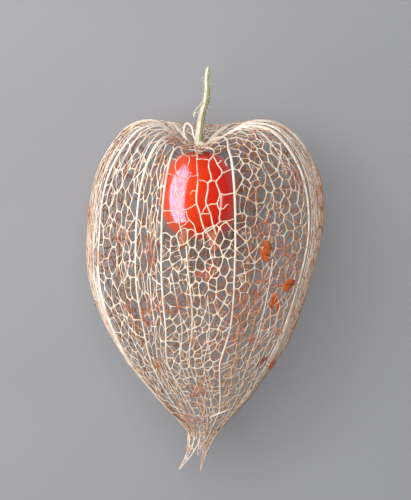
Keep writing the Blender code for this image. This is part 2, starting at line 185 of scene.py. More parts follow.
@dataclass
class Husk:
    """The surface that every vein lies on, unrolled to an angle and a level.

    Attributes:
        outline: Radius, height and sideways shift, from the ring at the stalk down to the throat.
        widest: Largest radius.
        crest: Height of the shoulder above the stalk's foot.
        crest_sway: How much higher the shoulder is at the two sides.
        front_dip: How much lower it is in front of the berry, the middle of that dip and its half width.
        stalk_aside: How far left of the ring's middle the stalk stands.
        panel_sink: Share of the radius by which the husk sinks between two ribs.
        sink_rise: How fast that comes in as the husk widens.
        floor_y: Depth at which the back is pressed flat.
        softness: How gently it turns flat there.
        facings: The way each rib faces at the widest ring, in degrees from the seen side.
        first_rib: The way the first rib would face if all were evenly spaced.
        evenness: Share of the uneven spacing that is left at the two ends.
        uneven_rise: How fast the rest of it comes in as the husk widens.
        front_drift: Heights, and the degrees by which the front turns to the right there.
        lengthening: Length of a cell over its width, less the second number at the widest ring.
        tooth_tips: Tip of the tooth on every second rib.
        tooth_levels: Length of a tooth in levels.
        tooth_taper: How fast a tooth narrows.
        tooth_bend: Share of its length that a tooth runs straight on before it turns to its tip.
        throat_step: Levels above the throat at which that straight way is taken.
        seen_from: First level past the shoulder, where the seen side begins.
        lookup: Steps across and down a sector among which a seen place is looked up.
    """

    outline: Trios = (
        (2.2, 1.3, -0.65), (5.4, 3.4, -0.4), (9.8, 5.0, 0.3), (15.6, 3.5, 0.75), (20.2, -3.0, 0.8),
        (21.8, -12.5, 0.5), (20.5, -24.0, -0.6), (16.3, -35.2, -0.4), (9.6, -44.6, 0.0),
        (3.6, -51.4, 0.1),
    )
    widest: float = 21.8
    crest: float = 5.0
    crest_sway: float = 1.0
    front_dip: Trio = (1.7, math.radians(-8.0), math.radians(24.0))
    stalk_aside: float = 0.25
    panel_sink: float = 0.03
    sink_rise: float = 1.5
    floor_y: float = 20.1
    softness: float = 0.25
    facings: tuple[float, ...] = (13.6, 58.0, 95.0, 153.0, 186.0, 228.0, 265.0, 298.0, 325.0, 338.4)
    first_rib: float = math.radians(34.3)
    evenness: float = 0.5
    uneven_rise: float = 1.4
    front_drift: tuple[Span, ...] = (
        (-52.0, 0.0), (-43.0, -3.5), (-36.0, -1.2), (-30.0, 3.2), (-24.0, 3.8), (-16.0, 1.3), (-9.0, 0.0),
        (6.0, 0.0),
    )
    lengthening: Span = (2.35, 0.85)
    tooth_tips: dict[int, Trio] = field(
        default_factory=lambda: {
            0: (-1.1, -1.6, -56.6),
            2: (-0.5, 0.6, -60.2),
            4: (0.6, 1.7, -56.9),
            6: (-3.3, 0.8, -56.2),
            8: (-4.5, -0.9, -59.5),
        }
    )
    tooth_levels: float = 1.25
    tooth_taper: float = 0.8
    tooth_bend: float = 0.4
    throat_step: float = 0.15
    seen_from: float = 0.3
    lookup: tuple[int, int] = (120, 500)

    def __post_init__(self) -> None:
        """Works out the level of every point of the outline."""
        self.ribs = len(self.facings)
        self.sector = 2 * math.pi / self.ribs
        self.curve = smooth_curve(self.outline, per_span=24)
        self.drift = smooth_curve(self.front_drift, per_span=6)
        steps = np.linalg.norm(np.diff(self.curve[:, :2], axis=0), axis=1)
        radii = (self.curve[1:, 0] + self.curve[:-1, 0]) / 2
        self.levels = np.concatenate([[0.0], np.cumsum(steps / (radii * self.longer(radii)))])
        self.throat = float(self.levels[-1])
        self.tip = self.throat + self.tooth_levels

    def longer(self, radius: Points) -> Points:
        """Length of a cell over its width, where the husk has a radius."""
        return self.lengthening[0] - self.lengthening[1] * radius / self.widest

    def section(self, level: Points) -> tuple[Points, Points, Points]:
        """Radius, height and centre shift at each level."""
        return tuple(np.interp(level, self.levels, self.curve[:, i]) for i in range(3))

    def facing(self, angle: Points, radius: Points) -> Points:
        """Turns evenly spaced angles to the way that they face on the uneven husk.

        Args:
            angle: Angles in the unrolled plane, a sector to each rib.
            radius: Radius of the husk there.

        Returns:
            Angles from the seen side, in radians.
        """
        turns, rib = np.divmod(np.floor(angle / self.sector), self.ribs)
        along = angle / self.sector % 1.0
        known = np.radians([*self.facings, self.facings[0] + 360.0])
        here = known[rib.astype(int)]
        after = known[rib.astype(int) + 1]
        uneven = here + along * (after - here) + 2 * math.pi * turns
        even = self.first_rib + angle
        share = np.clip(self.uneven_rise * radius / self.widest, self.evenness, 1.0)
        return even + share * (uneven - even)

    def ring(self, angle: Points, level: Points) -> Points:
        """Points of the husk above the teeth."""
        radius, height, centre = self.section(level)
        between = np.sin(math.pi * (angle / self.sector % 1.0)) ** 2
        facing = self.facing(angle, radius)
        turned = np.radians(np.interp(height, self.drift[:, 0], self.drift[:, 1]))
        facing = facing + turned * np.maximum(0.0, np.cos(facing)) ** 2
        dip, middle, wide = self.front_dip
        beside = (facing - middle + math.pi) % (2 * math.pi) - math.pi
        lower = self.crest_sway * np.cos(2 * facing) + dip * np.exp(-((beside / wide) ** 2))
        height = height - lower * np.maximum(0.0, height / self.crest) ** 2
        sink = np.minimum(1.0, radius / self.widest * self.sink_rise)
        radius = radius * (1 - self.panel_sink * between * sink)
        x = centre + radius * np.sin(facing)
        y = -radius * np.cos(facing)
        y = y - self.softness * np.logaddexp(0.0, (y - self.floor_y) / self.softness)
        return np.stack([x, y, height], axis=-1)

    def spine(self, rib: int, share: Points) -> Points:
        """Points on the middle vein of a tooth, from the throat at 0 to the tip at 1."""
        levels = np.array([self.throat, self.throat - self.throat_step])
        root, above = self.ring(np.full(2, rib * self.sector), levels)
        tip = np.array(self.tooth_tips[rib])
        bend = root + unit(root - above) * np.linalg.norm(tip - root) * self.tooth_bend
        share = np.asarray(share, float)[..., None]
        first = root + (bend - root) * share
        second = bend + (tip - bend) * share
        return first + (second - first) * share

    def tooth_of(self, sector: int) -> int:
        """The rib whose tooth a sector runs into."""
        return (sector + 1) // 2 * 2 % self.ribs

    def points(self, sector: int, across: Points, level: Points) -> Points:
        """Points of one sector, its half tooth included.

        Args:
            sector: Number of the rib on its left.
            across: Angles from that rib.
            level: Levels, past the throat on the tooth.

        Returns:
            Points of the hanging lantern, one a row.
        """
        rib = self.tooth_of(sector)
        angle = sector * self.sector + np.asarray(across, float)
        above = self.ring(angle, np.minimum(level, self.throat))
        share = np.maximum(0.0, (level - self.throat) / self.tooth_levels)
        root = self.ring(np.array([rib * self.sector]), np.array([self.throat]))
        narrow = (1 - np.minimum(share, 1)) ** self.tooth_taper
        below = self.spine(rib, share) + (above - root) * narrow[..., None]
        return np.where((share > 0)[..., None], below, above)

    def normals(self, sector: int, across: Points, level: Points) -> Points:
        """Outward directions at points of one sector."""
        step = 1e-3
        beside = self.points(sector, across + step, level) - self.points(sector, across - step, level)
        down = self.points(sector, across, level + step) - self.points(sector, across, level - step)
        return unit(np.cross(down, beside))

    def level_at(self, height: float) -> float:
        """The level at a height below the shoulder."""
        falling = self.curve[:, 1].argmax()
        return float(np.interp(-height, -self.curve[falling:, 1], self.levels[falling:]))

    def picture(self, points: Points) -> Points:
        """Sideways and upward places of points as the camera sees them."""
        lean = math.radians(CAMERA_LEAN_DEG)
        return np.stack([points[:, 0], points[:, 1] * math.sin(lean) + points[:, 2] * math.cos(lean)], axis=1)

    def under(self, places: Points, sectors: Sequence[int]) -> tuple[int, Points]:
        """Finds what part of the surface is seen at some places of the picture.

        Args:
            places: Sideways and upward places.
            sectors: Sectors in front that may lie there.

        Returns:
            The sector under their middle, and across and level of every place.
        """
        sideways, down = self.lookup
        grid = np.meshgrid(
            np.linspace(0.0, self.sector, sideways), np.linspace(self.seen_from, self.throat, down)
        )
        across, level = grid[0].ravel(), grid[1].ravel()
        middle = places.mean(axis=0)
        found = []
        for sector in sectors:
            seen = self.picture(self.points(sector, across, level))
            found.append((float(np.linalg.norm(seen - middle, axis=1).min()), sector, seen))
        _, sector, seen = min(found, key=lambda item: item[0])
        nearest = [int(np.linalg.norm(seen - place, axis=1).argmin()) for place in places]
        return sector, np.column_stack([across[nearest], level[nearest]])


class MeshData:
    """Vertices and faces of one piece, gathered from many small shapes."""

    def __init__(self) -> None:
        """Starts empty."""
        self.vertices: list[Points] = []
        self.faces: list[Face] = []
        self.count = 0

    def add(self, vertices: Points, faces: Iterable[Sequence[int]]) -> None:
        """Adds a shape whose faces count from its own first vertex."""
        start = self.count
        self.vertices.append(np.asarray(vertices, float))
        self.faces.extend(tuple(start + int(i) for i in face) for face in faces)
        self.count += len(vertices)

    def tube(self, path: Points, radii: Points, sides: int = 6, flat: float = 1.0) -> None:
        """Adds a closed tube along a path.

        Args:
            path: Points on its middle line.
            radii: Radius at each point.
            sides: Corners of its section.
            flat: Height of the section over its width.
        """
        path = np.asarray(path, float)
        ways = unit(np.gradient(path, axis=0))
        side = np.cross(ways[0], (0.0, 0.0, 1.0))
        if np.linalg.norm(side) < 0.1:
            side = np.cross(ways[0], (1.0, 0.0, 0.0))
        angles = ring_angles(sides)
        rings = []
        for place, way, radius in zip(path, ways, radii):
            side = unit(side - way * side.dot(way))
            up = np.cross(way, side) * flat
            rings.append(place + radius * (np.outer(np.cos(angles), side) + np.outer(np.sin(angles), up)))
        ends = [path[0] - ways[0] * radii[0] * 0.5, path[-1] + ways[-1] * radii[-1] * 0.5]
        faces = [(a, b, d, c) for a, c, d, b in bands(len(path), sides)]
        first, last = len(path) * sides, len(path) * sides + 1
        top = (len(path) - 1) * sides
        for i in range(sides):
            faces.append((first, (i + 1) % sides, i))
            faces.append((last, top + i, top + (i + 1) % sides))
        self.add(np.vstack([*rings, ends]), faces)

    def build(self, name: str, smoothing: int = 0) -> Piece:
        """Makes the piece in the scene.

        Args:
            name: Name of the piece.
            smoothing: Levels of subdivision.

        Returns:
            The new object, its modifiers built in.
        """
        mesh = bpy.data.meshes.new(name)
        places = laid(np.vstack(self.vertices))
        mesh.from_pydata(places.tolist(), [], self.faces)
        mesh.update()
        piece = linked(name, mesh)
        if smoothing:
            rounding = piece.modifiers.new("rounding", "SUBSURF")
            rounding.levels = rounding.render_levels = smoothing
            graph = bpy.context.evaluated_depsgraph_get()
            smooth = bpy.data.meshes.new_from_object(piece.evaluated_get(graph))
            piece.modifiers.clear()
            piece.data = smooth
            bpy.data.meshes.remove(mesh)
        places = np.empty(len(piece.data.vertices) * 3)
        piece.data.vertices.foreach_get("co", places)
        places = np.clip(places.reshape(-1, 3), np.array(CAD_BOX[0]), np.array(CAD_BOX[1]))
        piece.data.vertices.foreach_set("co", places.ravel())
        piece.data.shade_smooth()
        return piece


class Width(Enum):
    """Half widths of the veins, in millimetres."""

    HIDDEN = 0.09
    STRONG = 0.12
    FINE = 0.072


@dataclass
class Cells:
    """The cells of one sector of the net, in the unrolled plane.

    Attributes:
        places: Across and level of every corner.
        faces: Corners of each cell, in order.
        widths: Half width of the vein along each pair of corners.
    """

    places: Points
    faces: list[list[int]]
    widths: dict[Pair, float]


def clip(polygon: Polygon, near: Points, far: Points) -> Polygon:
    """Keeps the part of a convex polygon that is closer to one point than to another.

    Args:
        polygon: Its corners.
        near: The point whose side is kept.
        far: The other point.

    Returns:
        The corners that are left.
    """
    middle = ((near[0] + far[0]) / 2, (near[1] + far[1]) / 2)
    way = (far[0] - near[0], far[1] - near[1])
    beyond = [(p[0] - middle[0]) * way[0] + (p[1] - middle[1]) * way[1] for p in polygon]
    kept = []
    for i, here in enumerate(polygon):
        after = (i + 1) % len(polygon)
        if beyond[i] <= 0:
            kept.append(here)
        if beyond[i] * beyond[after] < 0:
            t = beyond[i] / (beyond[i] - beyond[after])
            there = polygon[after]
            kept.append((here[0] + t * (there[0] - here[0]), here[1] + t * (there[1] - here[1])))
    return kept


@dataclass
class CellPlan:
    """Divides a sector of the husk into cells: strong veins first, and fine ones across the larger cells.

    Attributes:
        husk: The surface.
        rng: Source of the seeded draws.
        number: Number of the sector.
        spacing: Distance between cells at the berry and at the throat.
        wide_spacing: The same two distances on the two flanks, where the net is wider.
        wide_sectors: The sectors there.
        open_spacing: That distance in front of the berry.
        open_sector: The sector there.
        smaller_from: Height below which the cells grow smaller towards the throat.
        tries: Number of places tried for the centres.
        margin: Distance of a centre from the ribs, as a share of the spacing, and its limit in sectors.
        neighbours: Distance within which other centres shape a cell, in spacings.
        split_chance: Chance that a fine vein crosses a cell, at the berry and at the throat.
        strong_spread: Least and greatest share of its width that a strong vein has.
        strong_thinning: Share of that width that is lost by the throat.
        fine_spread: Least and greatest share of its width that a fine vein has.
        shortest: Veins shorter than this are left out.
        tooth_share: Share of a tooth that has net.
    """

    husk: Husk
    rng: Rng
    number: int
    spacing: Span = (1.18, 0.8)
    wide_spacing: Span = (1.9, 1.1)
    wide_sectors: tuple[int, ...] = (1, 6, 7, 8)
    open_spacing: float = 1.35
    open_sector: int = 9
    smaller_from: float = -12.0
    tries: int = 6000
    margin: Span = (0.36, 0.45)
    neighbours: float = 4.5
    split_chance: Span = (0.4, 0.42)
    strong_spread: Span = (0.6, 1.18)
    strong_thinning: float = 0.2
    fine_spread: Span = (0.8, 1.15)
    shortest: float = 0.42
    tooth_share: float = 0.8

    def __post_init__(self) -> None:
        """Works out the last level that has net."""
        self.end = self.husk.throat + self.husk.tooth_levels * self.tooth_share

    def lower(self, level: float) -> float:
        """How far down the husk a level is: 0 along the berry, 1 at the throat."""
        start = self.husk.level_at(self.smaller_from)
        return float(np.clip((level - start) / (self.husk.throat - start), 0.0, 1.0))

    def gap(self, level: float) -> float:
        """Distance between two cells in the unrolled plane."""
        radius = float(self.husk.section(min(level, self.husk.throat))[0])
        wide, narrow = self.wide_spacing if self.number in self.wide_sectors else self.spacing
        if self.number == self.open_sector and self.lower(level) == 0.0:
            wide = self.open_spacing
        return (wide + (narrow - wide) * self.lower(level)) / radius

    def centres(self) -> Points:
        """Scatters the centres of the strong cells over one sector."""
        found = np.empty((0, 2))
        for _ in range(self.tries):
            level = self.rng.uniform(0.0, self.end)
            gap = self.gap(level)
            margin = min(self.margin[0] * gap, self.margin[1] * self.husk.sector)
            place = np.array([self.rng.uniform(margin, self.husk.sector - margin), level])
            if not len(found) or np.linalg.norm(found - place, axis=1).min() > gap:
                found = np.vstack([found, place])
        return found

    def polygons(self) -> list[tuple[Polygon, Polygon]]:
        """Every cell of one sector, with the strong cell that it is part of."""
        width = self.husk.sector
        centres = self.centres()
        low, high = self.split_chance
        cells = []
        for centre in centres:
            cell = [(0.0, 0.0), (width, 0.0), (width, self.end), (0.0, self.end)]
            reach = self.neighbours * self.gap(centre[1])
            for other in centres[np.linalg.norm(centres - centre, axis=1) < reach]:
                if not np.array_equal(other, centre):
                    cell = clip(cell, centre, other)
            strong = self.rounded(cell)
            if self.rng.random() < low + (high - low) * self.lower(centre[1]):
                middle = np.mean(strong, axis=0)
                turn = self.rng.normal(math.pi / 2, 0.75)
                way = 0.05 * np.array([math.cos(turn), math.sin(turn)])
                cells.append((self.rounded(clip(strong, middle - way, middle + way)), strong))
                cells.append((self.rounded(clip(strong, middle + way, middle - way)), strong))
            else:
                cells.append((strong, strong))
        return cells

    @staticmethod
    def rounded(polygon: Polygon) -> Polygon:
        """The polygon with corners that equal their neighbours' exactly."""
        return [(round(float(x), 7), round(float(y), 7)) for x, y in polygon]

    @staticmethod
    def on_edge(place: Points, start: Points, end: Points) -> Points:
        """Shares along an edge at which places lie on it, or -1."""
        way = end - start
        away = place - start
        share = away @ way / max(way @ way, 1e-18)
        off = np.linalg.norm(away - share[:, None] * way, axis=1)
        return np.where((off < ON_EDGE) & (share > ON_SIDE) & (share < 1 - ON_SIDE), share, -1.0)

    def sector(self) -> Cells:
        """Plans one sector.

        Returns:
            Its cells, with every joint of two veins a corner of all the cells that it touches.
        """
        cells = self.polygons()
        places = np.array(sorted({corner for cell, _ in cells for corner in cell}))
        index = {tuple(place): i for i, place in enumerate(places)}
        faces = []
        widths: dict[Pair, float] = {}
        for cell, strong in cells:
            face = []
            for here, after in around(cell):
                shares = self.on_edge(places, np.array(here), np.array(after))
                joints = [i for i in np.argsort(shares) if shares[i] > 0]
                face += [index[here], *joints]
            for a, b in around(face):
                key = pair(a, b)
                if key not in widths:
                    widths[key] = self.width(places[a], places[b], strong)
            faces.append(face)
        return self.merged(places, faces, widths)

    def width(self, a: Points, b: Points, strong: Polygon) -> float:
        """Half width of the vein between two corners."""
        for side in (0.0, self.husk.sector):
            if abs(a[0] - side) < ON_SIDE and abs(b[0] - side) < ON_SIDE:
                return Width.HIDDEN.value
        middle = np.array([(a + b) / 2])
        for start, end in around(strong):
            if self.on_edge(middle, np.array(start), np.array(end))[0] > 0:
                thinning = 1 - self.strong_thinning * self.lower(a[1])
                return Width.STRONG.value * self.rng.uniform(*self.strong_spread) * thinning
        return Width.FINE.value * self.rng.uniform(*self.fine_spread)

    def merged(self, places: Points, faces: list[list[int]], widths: dict[Pair, float]) -> Cells:
        """Joins the two ends of every vein that is too short.

        Args:
            places: All corners.
            faces: All cells.
            widths: Half width of every vein.

        Returns:
            The cells that are left.
        """
        leader = list(range(len(places)))

        def lead(i: int) -> int:
            """The corner that stands for this one."""
            while leader[i] != i:
                i = leader[i]
            return i

        radius = self.husk.section(np.minimum(places[:, 1], self.husk.throat))[0]
        scale = np.stack([radius, radius * self.husk.longer(radius)], axis=1)
        for a, b in widths:
            if np.linalg.norm((places[a] - places[b]) * scale[a]) < self.shortest:
                leader[lead(a)] = lead(b)
        groups: dict[int, list[int]] = {}
        for i in range(len(places)):
            groups.setdefault(lead(i), []).append(i)
        side = (places[:, 0] < ON_SIDE) | (places[:, 0] > self.husk.sector - ON_SIDE)
        joined = places.copy()
        for first, members in groups.items():
            fixed = [i for i in members if side[i]] or members
            joined[first] = places[fixed].mean(axis=0)
        kept = []
        for face in faces:
            loop = [lead(i) for i in face]
            loop = [i for i, before in zip(loop, loop[-1:] + loop[:-1]) if i != before]
            if len(set(loop)) > 2 and len(set(loop)) == len(loop):
                kept.append(loop)
        thick: dict[Pair, float] = {}
        for (a, b), width in widths.items():
            key = pair(lead(a), lead(b))
            thick[key] = max(width, thick.get(key, 0.0))
        return Cells(joined, kept, thick)


@dataclass
class NetSolid:
    """Turns the cells of a sector into rounded veins, each as wide as planned and a little bent.

    Attributes:
        husk: The surface.
        rng: Source of the seeded draws.
        flatness: Height of a vein over its width.
        bend: Sideways bend of a vein as a share of its length.
        long_veins: Lengths from which a vein has two and three points between its corners.
        two_points: Shares of the length at which those two stand.
        lift: How far a corner may stand off the surface.
        pressed: Corners this near the pressed back aren't lifted.
        fullness: Widening that makes up for the rounding.
        rounding: Shares that a hole's corner and each of its two neighbours have in its place.
        sharpest: Limit to how far two veins' edges meet from a sharp corner.
        hole_limit: Share of a vein's length, and a length, that a hole's corner keeps within.
    """

    husk: Husk
    rng: Rng
    flatness: float = 0.85
    bend: float = 0.1
    long_veins: Span = (1.3, 2.6)
    two_points: Span = (0.27, 0.73)
    lift: float = 0.2
    pressed: float = 1.5
    fullness: float = 1.22
    rounding: Span = (0.6, 0.2)
    sharpest: float = 0.7
    hole_limit: Span = (0.42, 0.1)

    def add_to(self, data: MeshData, sector: int, cells: Cells) -> None:
        """Builds one sector's veins.

        Args:
            data: The mesh that they are added to.
            sector: Number of the sector.
            cells: Its cells.
        """
        used = sorted({i for face in cells.faces for i in face})
        places = [cells.places[i] for i in used]
        renumbered = {old: new for new, old in enumerate(used)}
        faces = [[renumbered[i] for i in face] for face in cells.faces]
        widths = {}
        for (a, b), width in cells.widths.items():
            if a in renumbered and b in renumbered:
                widths[pair(renumbered[a], renumbered[b])] = width
        corners = len(places)
        on_side = [p[0] < ON_SIDE or p[0] > self.husk.sector - ON_SIDE for p in places]
        bends = [0.0] * corners
        split: dict[Pair, list[int]] = {}
        spans: dict[Pair, float] = {}
        ends = self.husk.points(sector, *np.array(places).T)
        partner: list[Pair] = [(i, i) for i in range(corners)]
        for key in sorted({pair(a, b) for face in faces for a, b in around(face)}):
            a, b = key
            length = float(np.linalg.norm(ends[a] - ends[b]))
            amount = 1 + sum(length >= limit for limit in self.long_veins)
            hidden = on_side[a] and on_side[b]
            push = 0.0 if hidden else self.bend * length * self.rng.uniform(-1, 1)
            sway = 0.0 if hidden else 0.5 * self.bend * length * self.rng.uniform(-1, 1)
            new = []
            for k in range(amount):
                t = (k + 1) / (amount + 1) if amount != 2 else self.two_points[k]
                new.append(len(places))
                places.append(places[a] + t * (places[b] - places[a]))
                bends.append(push * math.sin(math.pi * t) + sway * math.sin(2 * math.pi * t))
                partner.append((a, b))
            split[key] = new
            spans[key] = widths.get(key, Width.FINE.value)
        middle = self.husk.points(sector, *np.array(places).T)
        out = self.husk.normals(sector, *np.array(places).T)
        pairs = np.array(partner)
        along = unit(middle[pairs[:, 1]] - middle[pairs[:, 0]] + 1e-12)
        middle = middle + np.cross(out, along) * np.array(bends)[:, None]
        lifts = self.rng.uniform(-self.lift, self.lift, corners)
        lifts[np.array(on_side)] = 0.0
        lifts[middle[:corners, 1] > self.husk.floor_y - self.pressed] = 0.0
        shares = np.linalg.norm(middle - middle[pairs[:, 0]], axis=1)
        whole = np.maximum(np.linalg.norm(middle[pairs[:, 1]] - middle[pairs[:, 0]], axis=1), 1e-9)
        share = np.clip(shares / whole, 0, 1)
        rise = lifts[pairs[:, 0]] * (1 - share) + lifts[pairs[:, 1]] * share
        middle = middle + out * rise[:, None]
        self.solidify(data, middle, out, faces, split, spans)

    def solidify(
        self,
        data: MeshData,
        middle: Points,
        out: Points,
        faces: list[list[int]],
        split: dict[Pair, list[int]],
        spans: dict[Pair, float],
    ) -> None:
        """Gives the veins their section: a top, a bottom and two sides.

        Args:
            data: The mesh that they are added to.
            middle: Points on the middle lines.
            out: Outward direction at each.
            faces: Corners of each cell.
            split: Points between the two corners of each vein.
            spans: Half width of each vein.
        """
        loops: list[list[int]] = []
        half: dict[Pair, float] = {}
        tall = np.zeros(len(middle))
        for face in faces:
            loop: list[int] = []
            for a, b in around(face):
                key = pair(a, b)
                inner = split[key] if a < b else split[key][::-1]
                chain = [a, *inner, b]
                loop += chain[:-1]
                for c, d in zip(chain, chain[1:]):
                    half[(c, d)] = half[(d, c)] = spans[key] * self.fullness
                    tall[c] = max(tall[c], half[(c, d)] * self.flatness)
                    tall[d] = max(tall[d], half[(c, d)] * self.flatness)
            loops.append(loop)
        count = len(middle)
        vertices = [*(middle + out * tall[:, None]), *(middle - out * tall[:, None])]
        quads: list[Face] = []
        directed = {(a, b) for loop in loops for a, b in around(loop)}
        flipped = self.inward(middle, out, loops[0])
        for loop in loops:
            if flipped:
                loop = loop[::-1]
            holes = self.offsets(middle, out, loop, half)
            own, beside = self.rounding
            turned = own * holes + beside * (np.roll(holes, 1, axis=0) + np.roll(holes, -1, axis=0))
            start = len(vertices)
            vertices.extend(turned)
            size = len(loop)
            for k, (a, b) in enumerate(around(loop)):
                h, g = start + k, start + (k + 1) % size
                quads.append((a, b, g, h))
                quads.append((count + b, count + a, h, g))
        if flipped:
            directed = {(b, a) for a, b in directed}
        rim = [(a, b) for a, b in sorted(directed) if (b, a) not in directed]
        before = {b: a for a, b in rim}
        after = {a: b for a, b in rim}
        outer: dict[int, int] = {}
        for here in sorted(after):
            if here not in before:
                continue
            trio = [before[here], here, after[here]]
            way = self.miter(middle, out, *trio, half)
            outer[here] = len(vertices)
            vertices.append(middle[here] - way)
        for a, b in rim:
            if a in outer and b in outer:
                quads.append((b, a, outer[a], outer[b]))
                quads.append((count + a, count + b, outer[b], outer[a]))
        data.add(np.array(vertices), quads)

    @staticmethod
    def inward(middle: Points, out: Points, loop: list[int]) -> bool:
        """Whether a cell's corners run clockwise as seen from outside."""
        ring = middle[loop] - middle[loop].mean(axis=0)
        area = np.cross(ring, np.roll(ring, -1, axis=0)).sum(axis=0)
        return float(area @ out[loop].mean(axis=0)) < 0

    def offsets(self, middle: Points, out: Points, loop: list[int], half: dict[Pair, float]) -> Points:
        """The hole's outline inside one cell."""
        size = len(loop)
        holes = []
        for k, here in enumerate(loop):
            way = self.miter(middle, out, loop[k - 1], here, loop[(k + 1) % size], half)
            holes.append(middle[here] + way)
        return np.array(holes)

    def miter(
        self, middle: Points, out: Points, before: int, here: int, after: int, half: dict[Pair, float]
    ) -> Points:
        """The step from a corner to the edge of its two veins, on the cell's side.

        Args:
            middle: Points on the middle lines.
            out: Outward direction at each.
            before: The corner before this one round the cell.
            here: This corner.
            after: The next corner.
            half: Half width of the vein between two corners.

        Returns:
            The step, along the surface.
        """
        up = out[here]
        first = middle[here] - middle[before]
        second = middle[after] - middle[here]
        left = np.cross(up, first)
        left /= max(np.linalg.norm(left), 1e-9)
        right = np.cross(up, second)
        right /= max(np.linalg.norm(right), 1e-9)
        step = left * half[(before, here)] + right * half[(here, after)]
        step = step / max(1 + float(left @ right), self.sharpest)
        share, more = self.hole_limit
        room = share * min(np.linalg.norm(first), np.linalg.norm(second)) + more
        length = np.linalg.norm(step)
        return step * min(1.0, room / max(length, 1e-9))


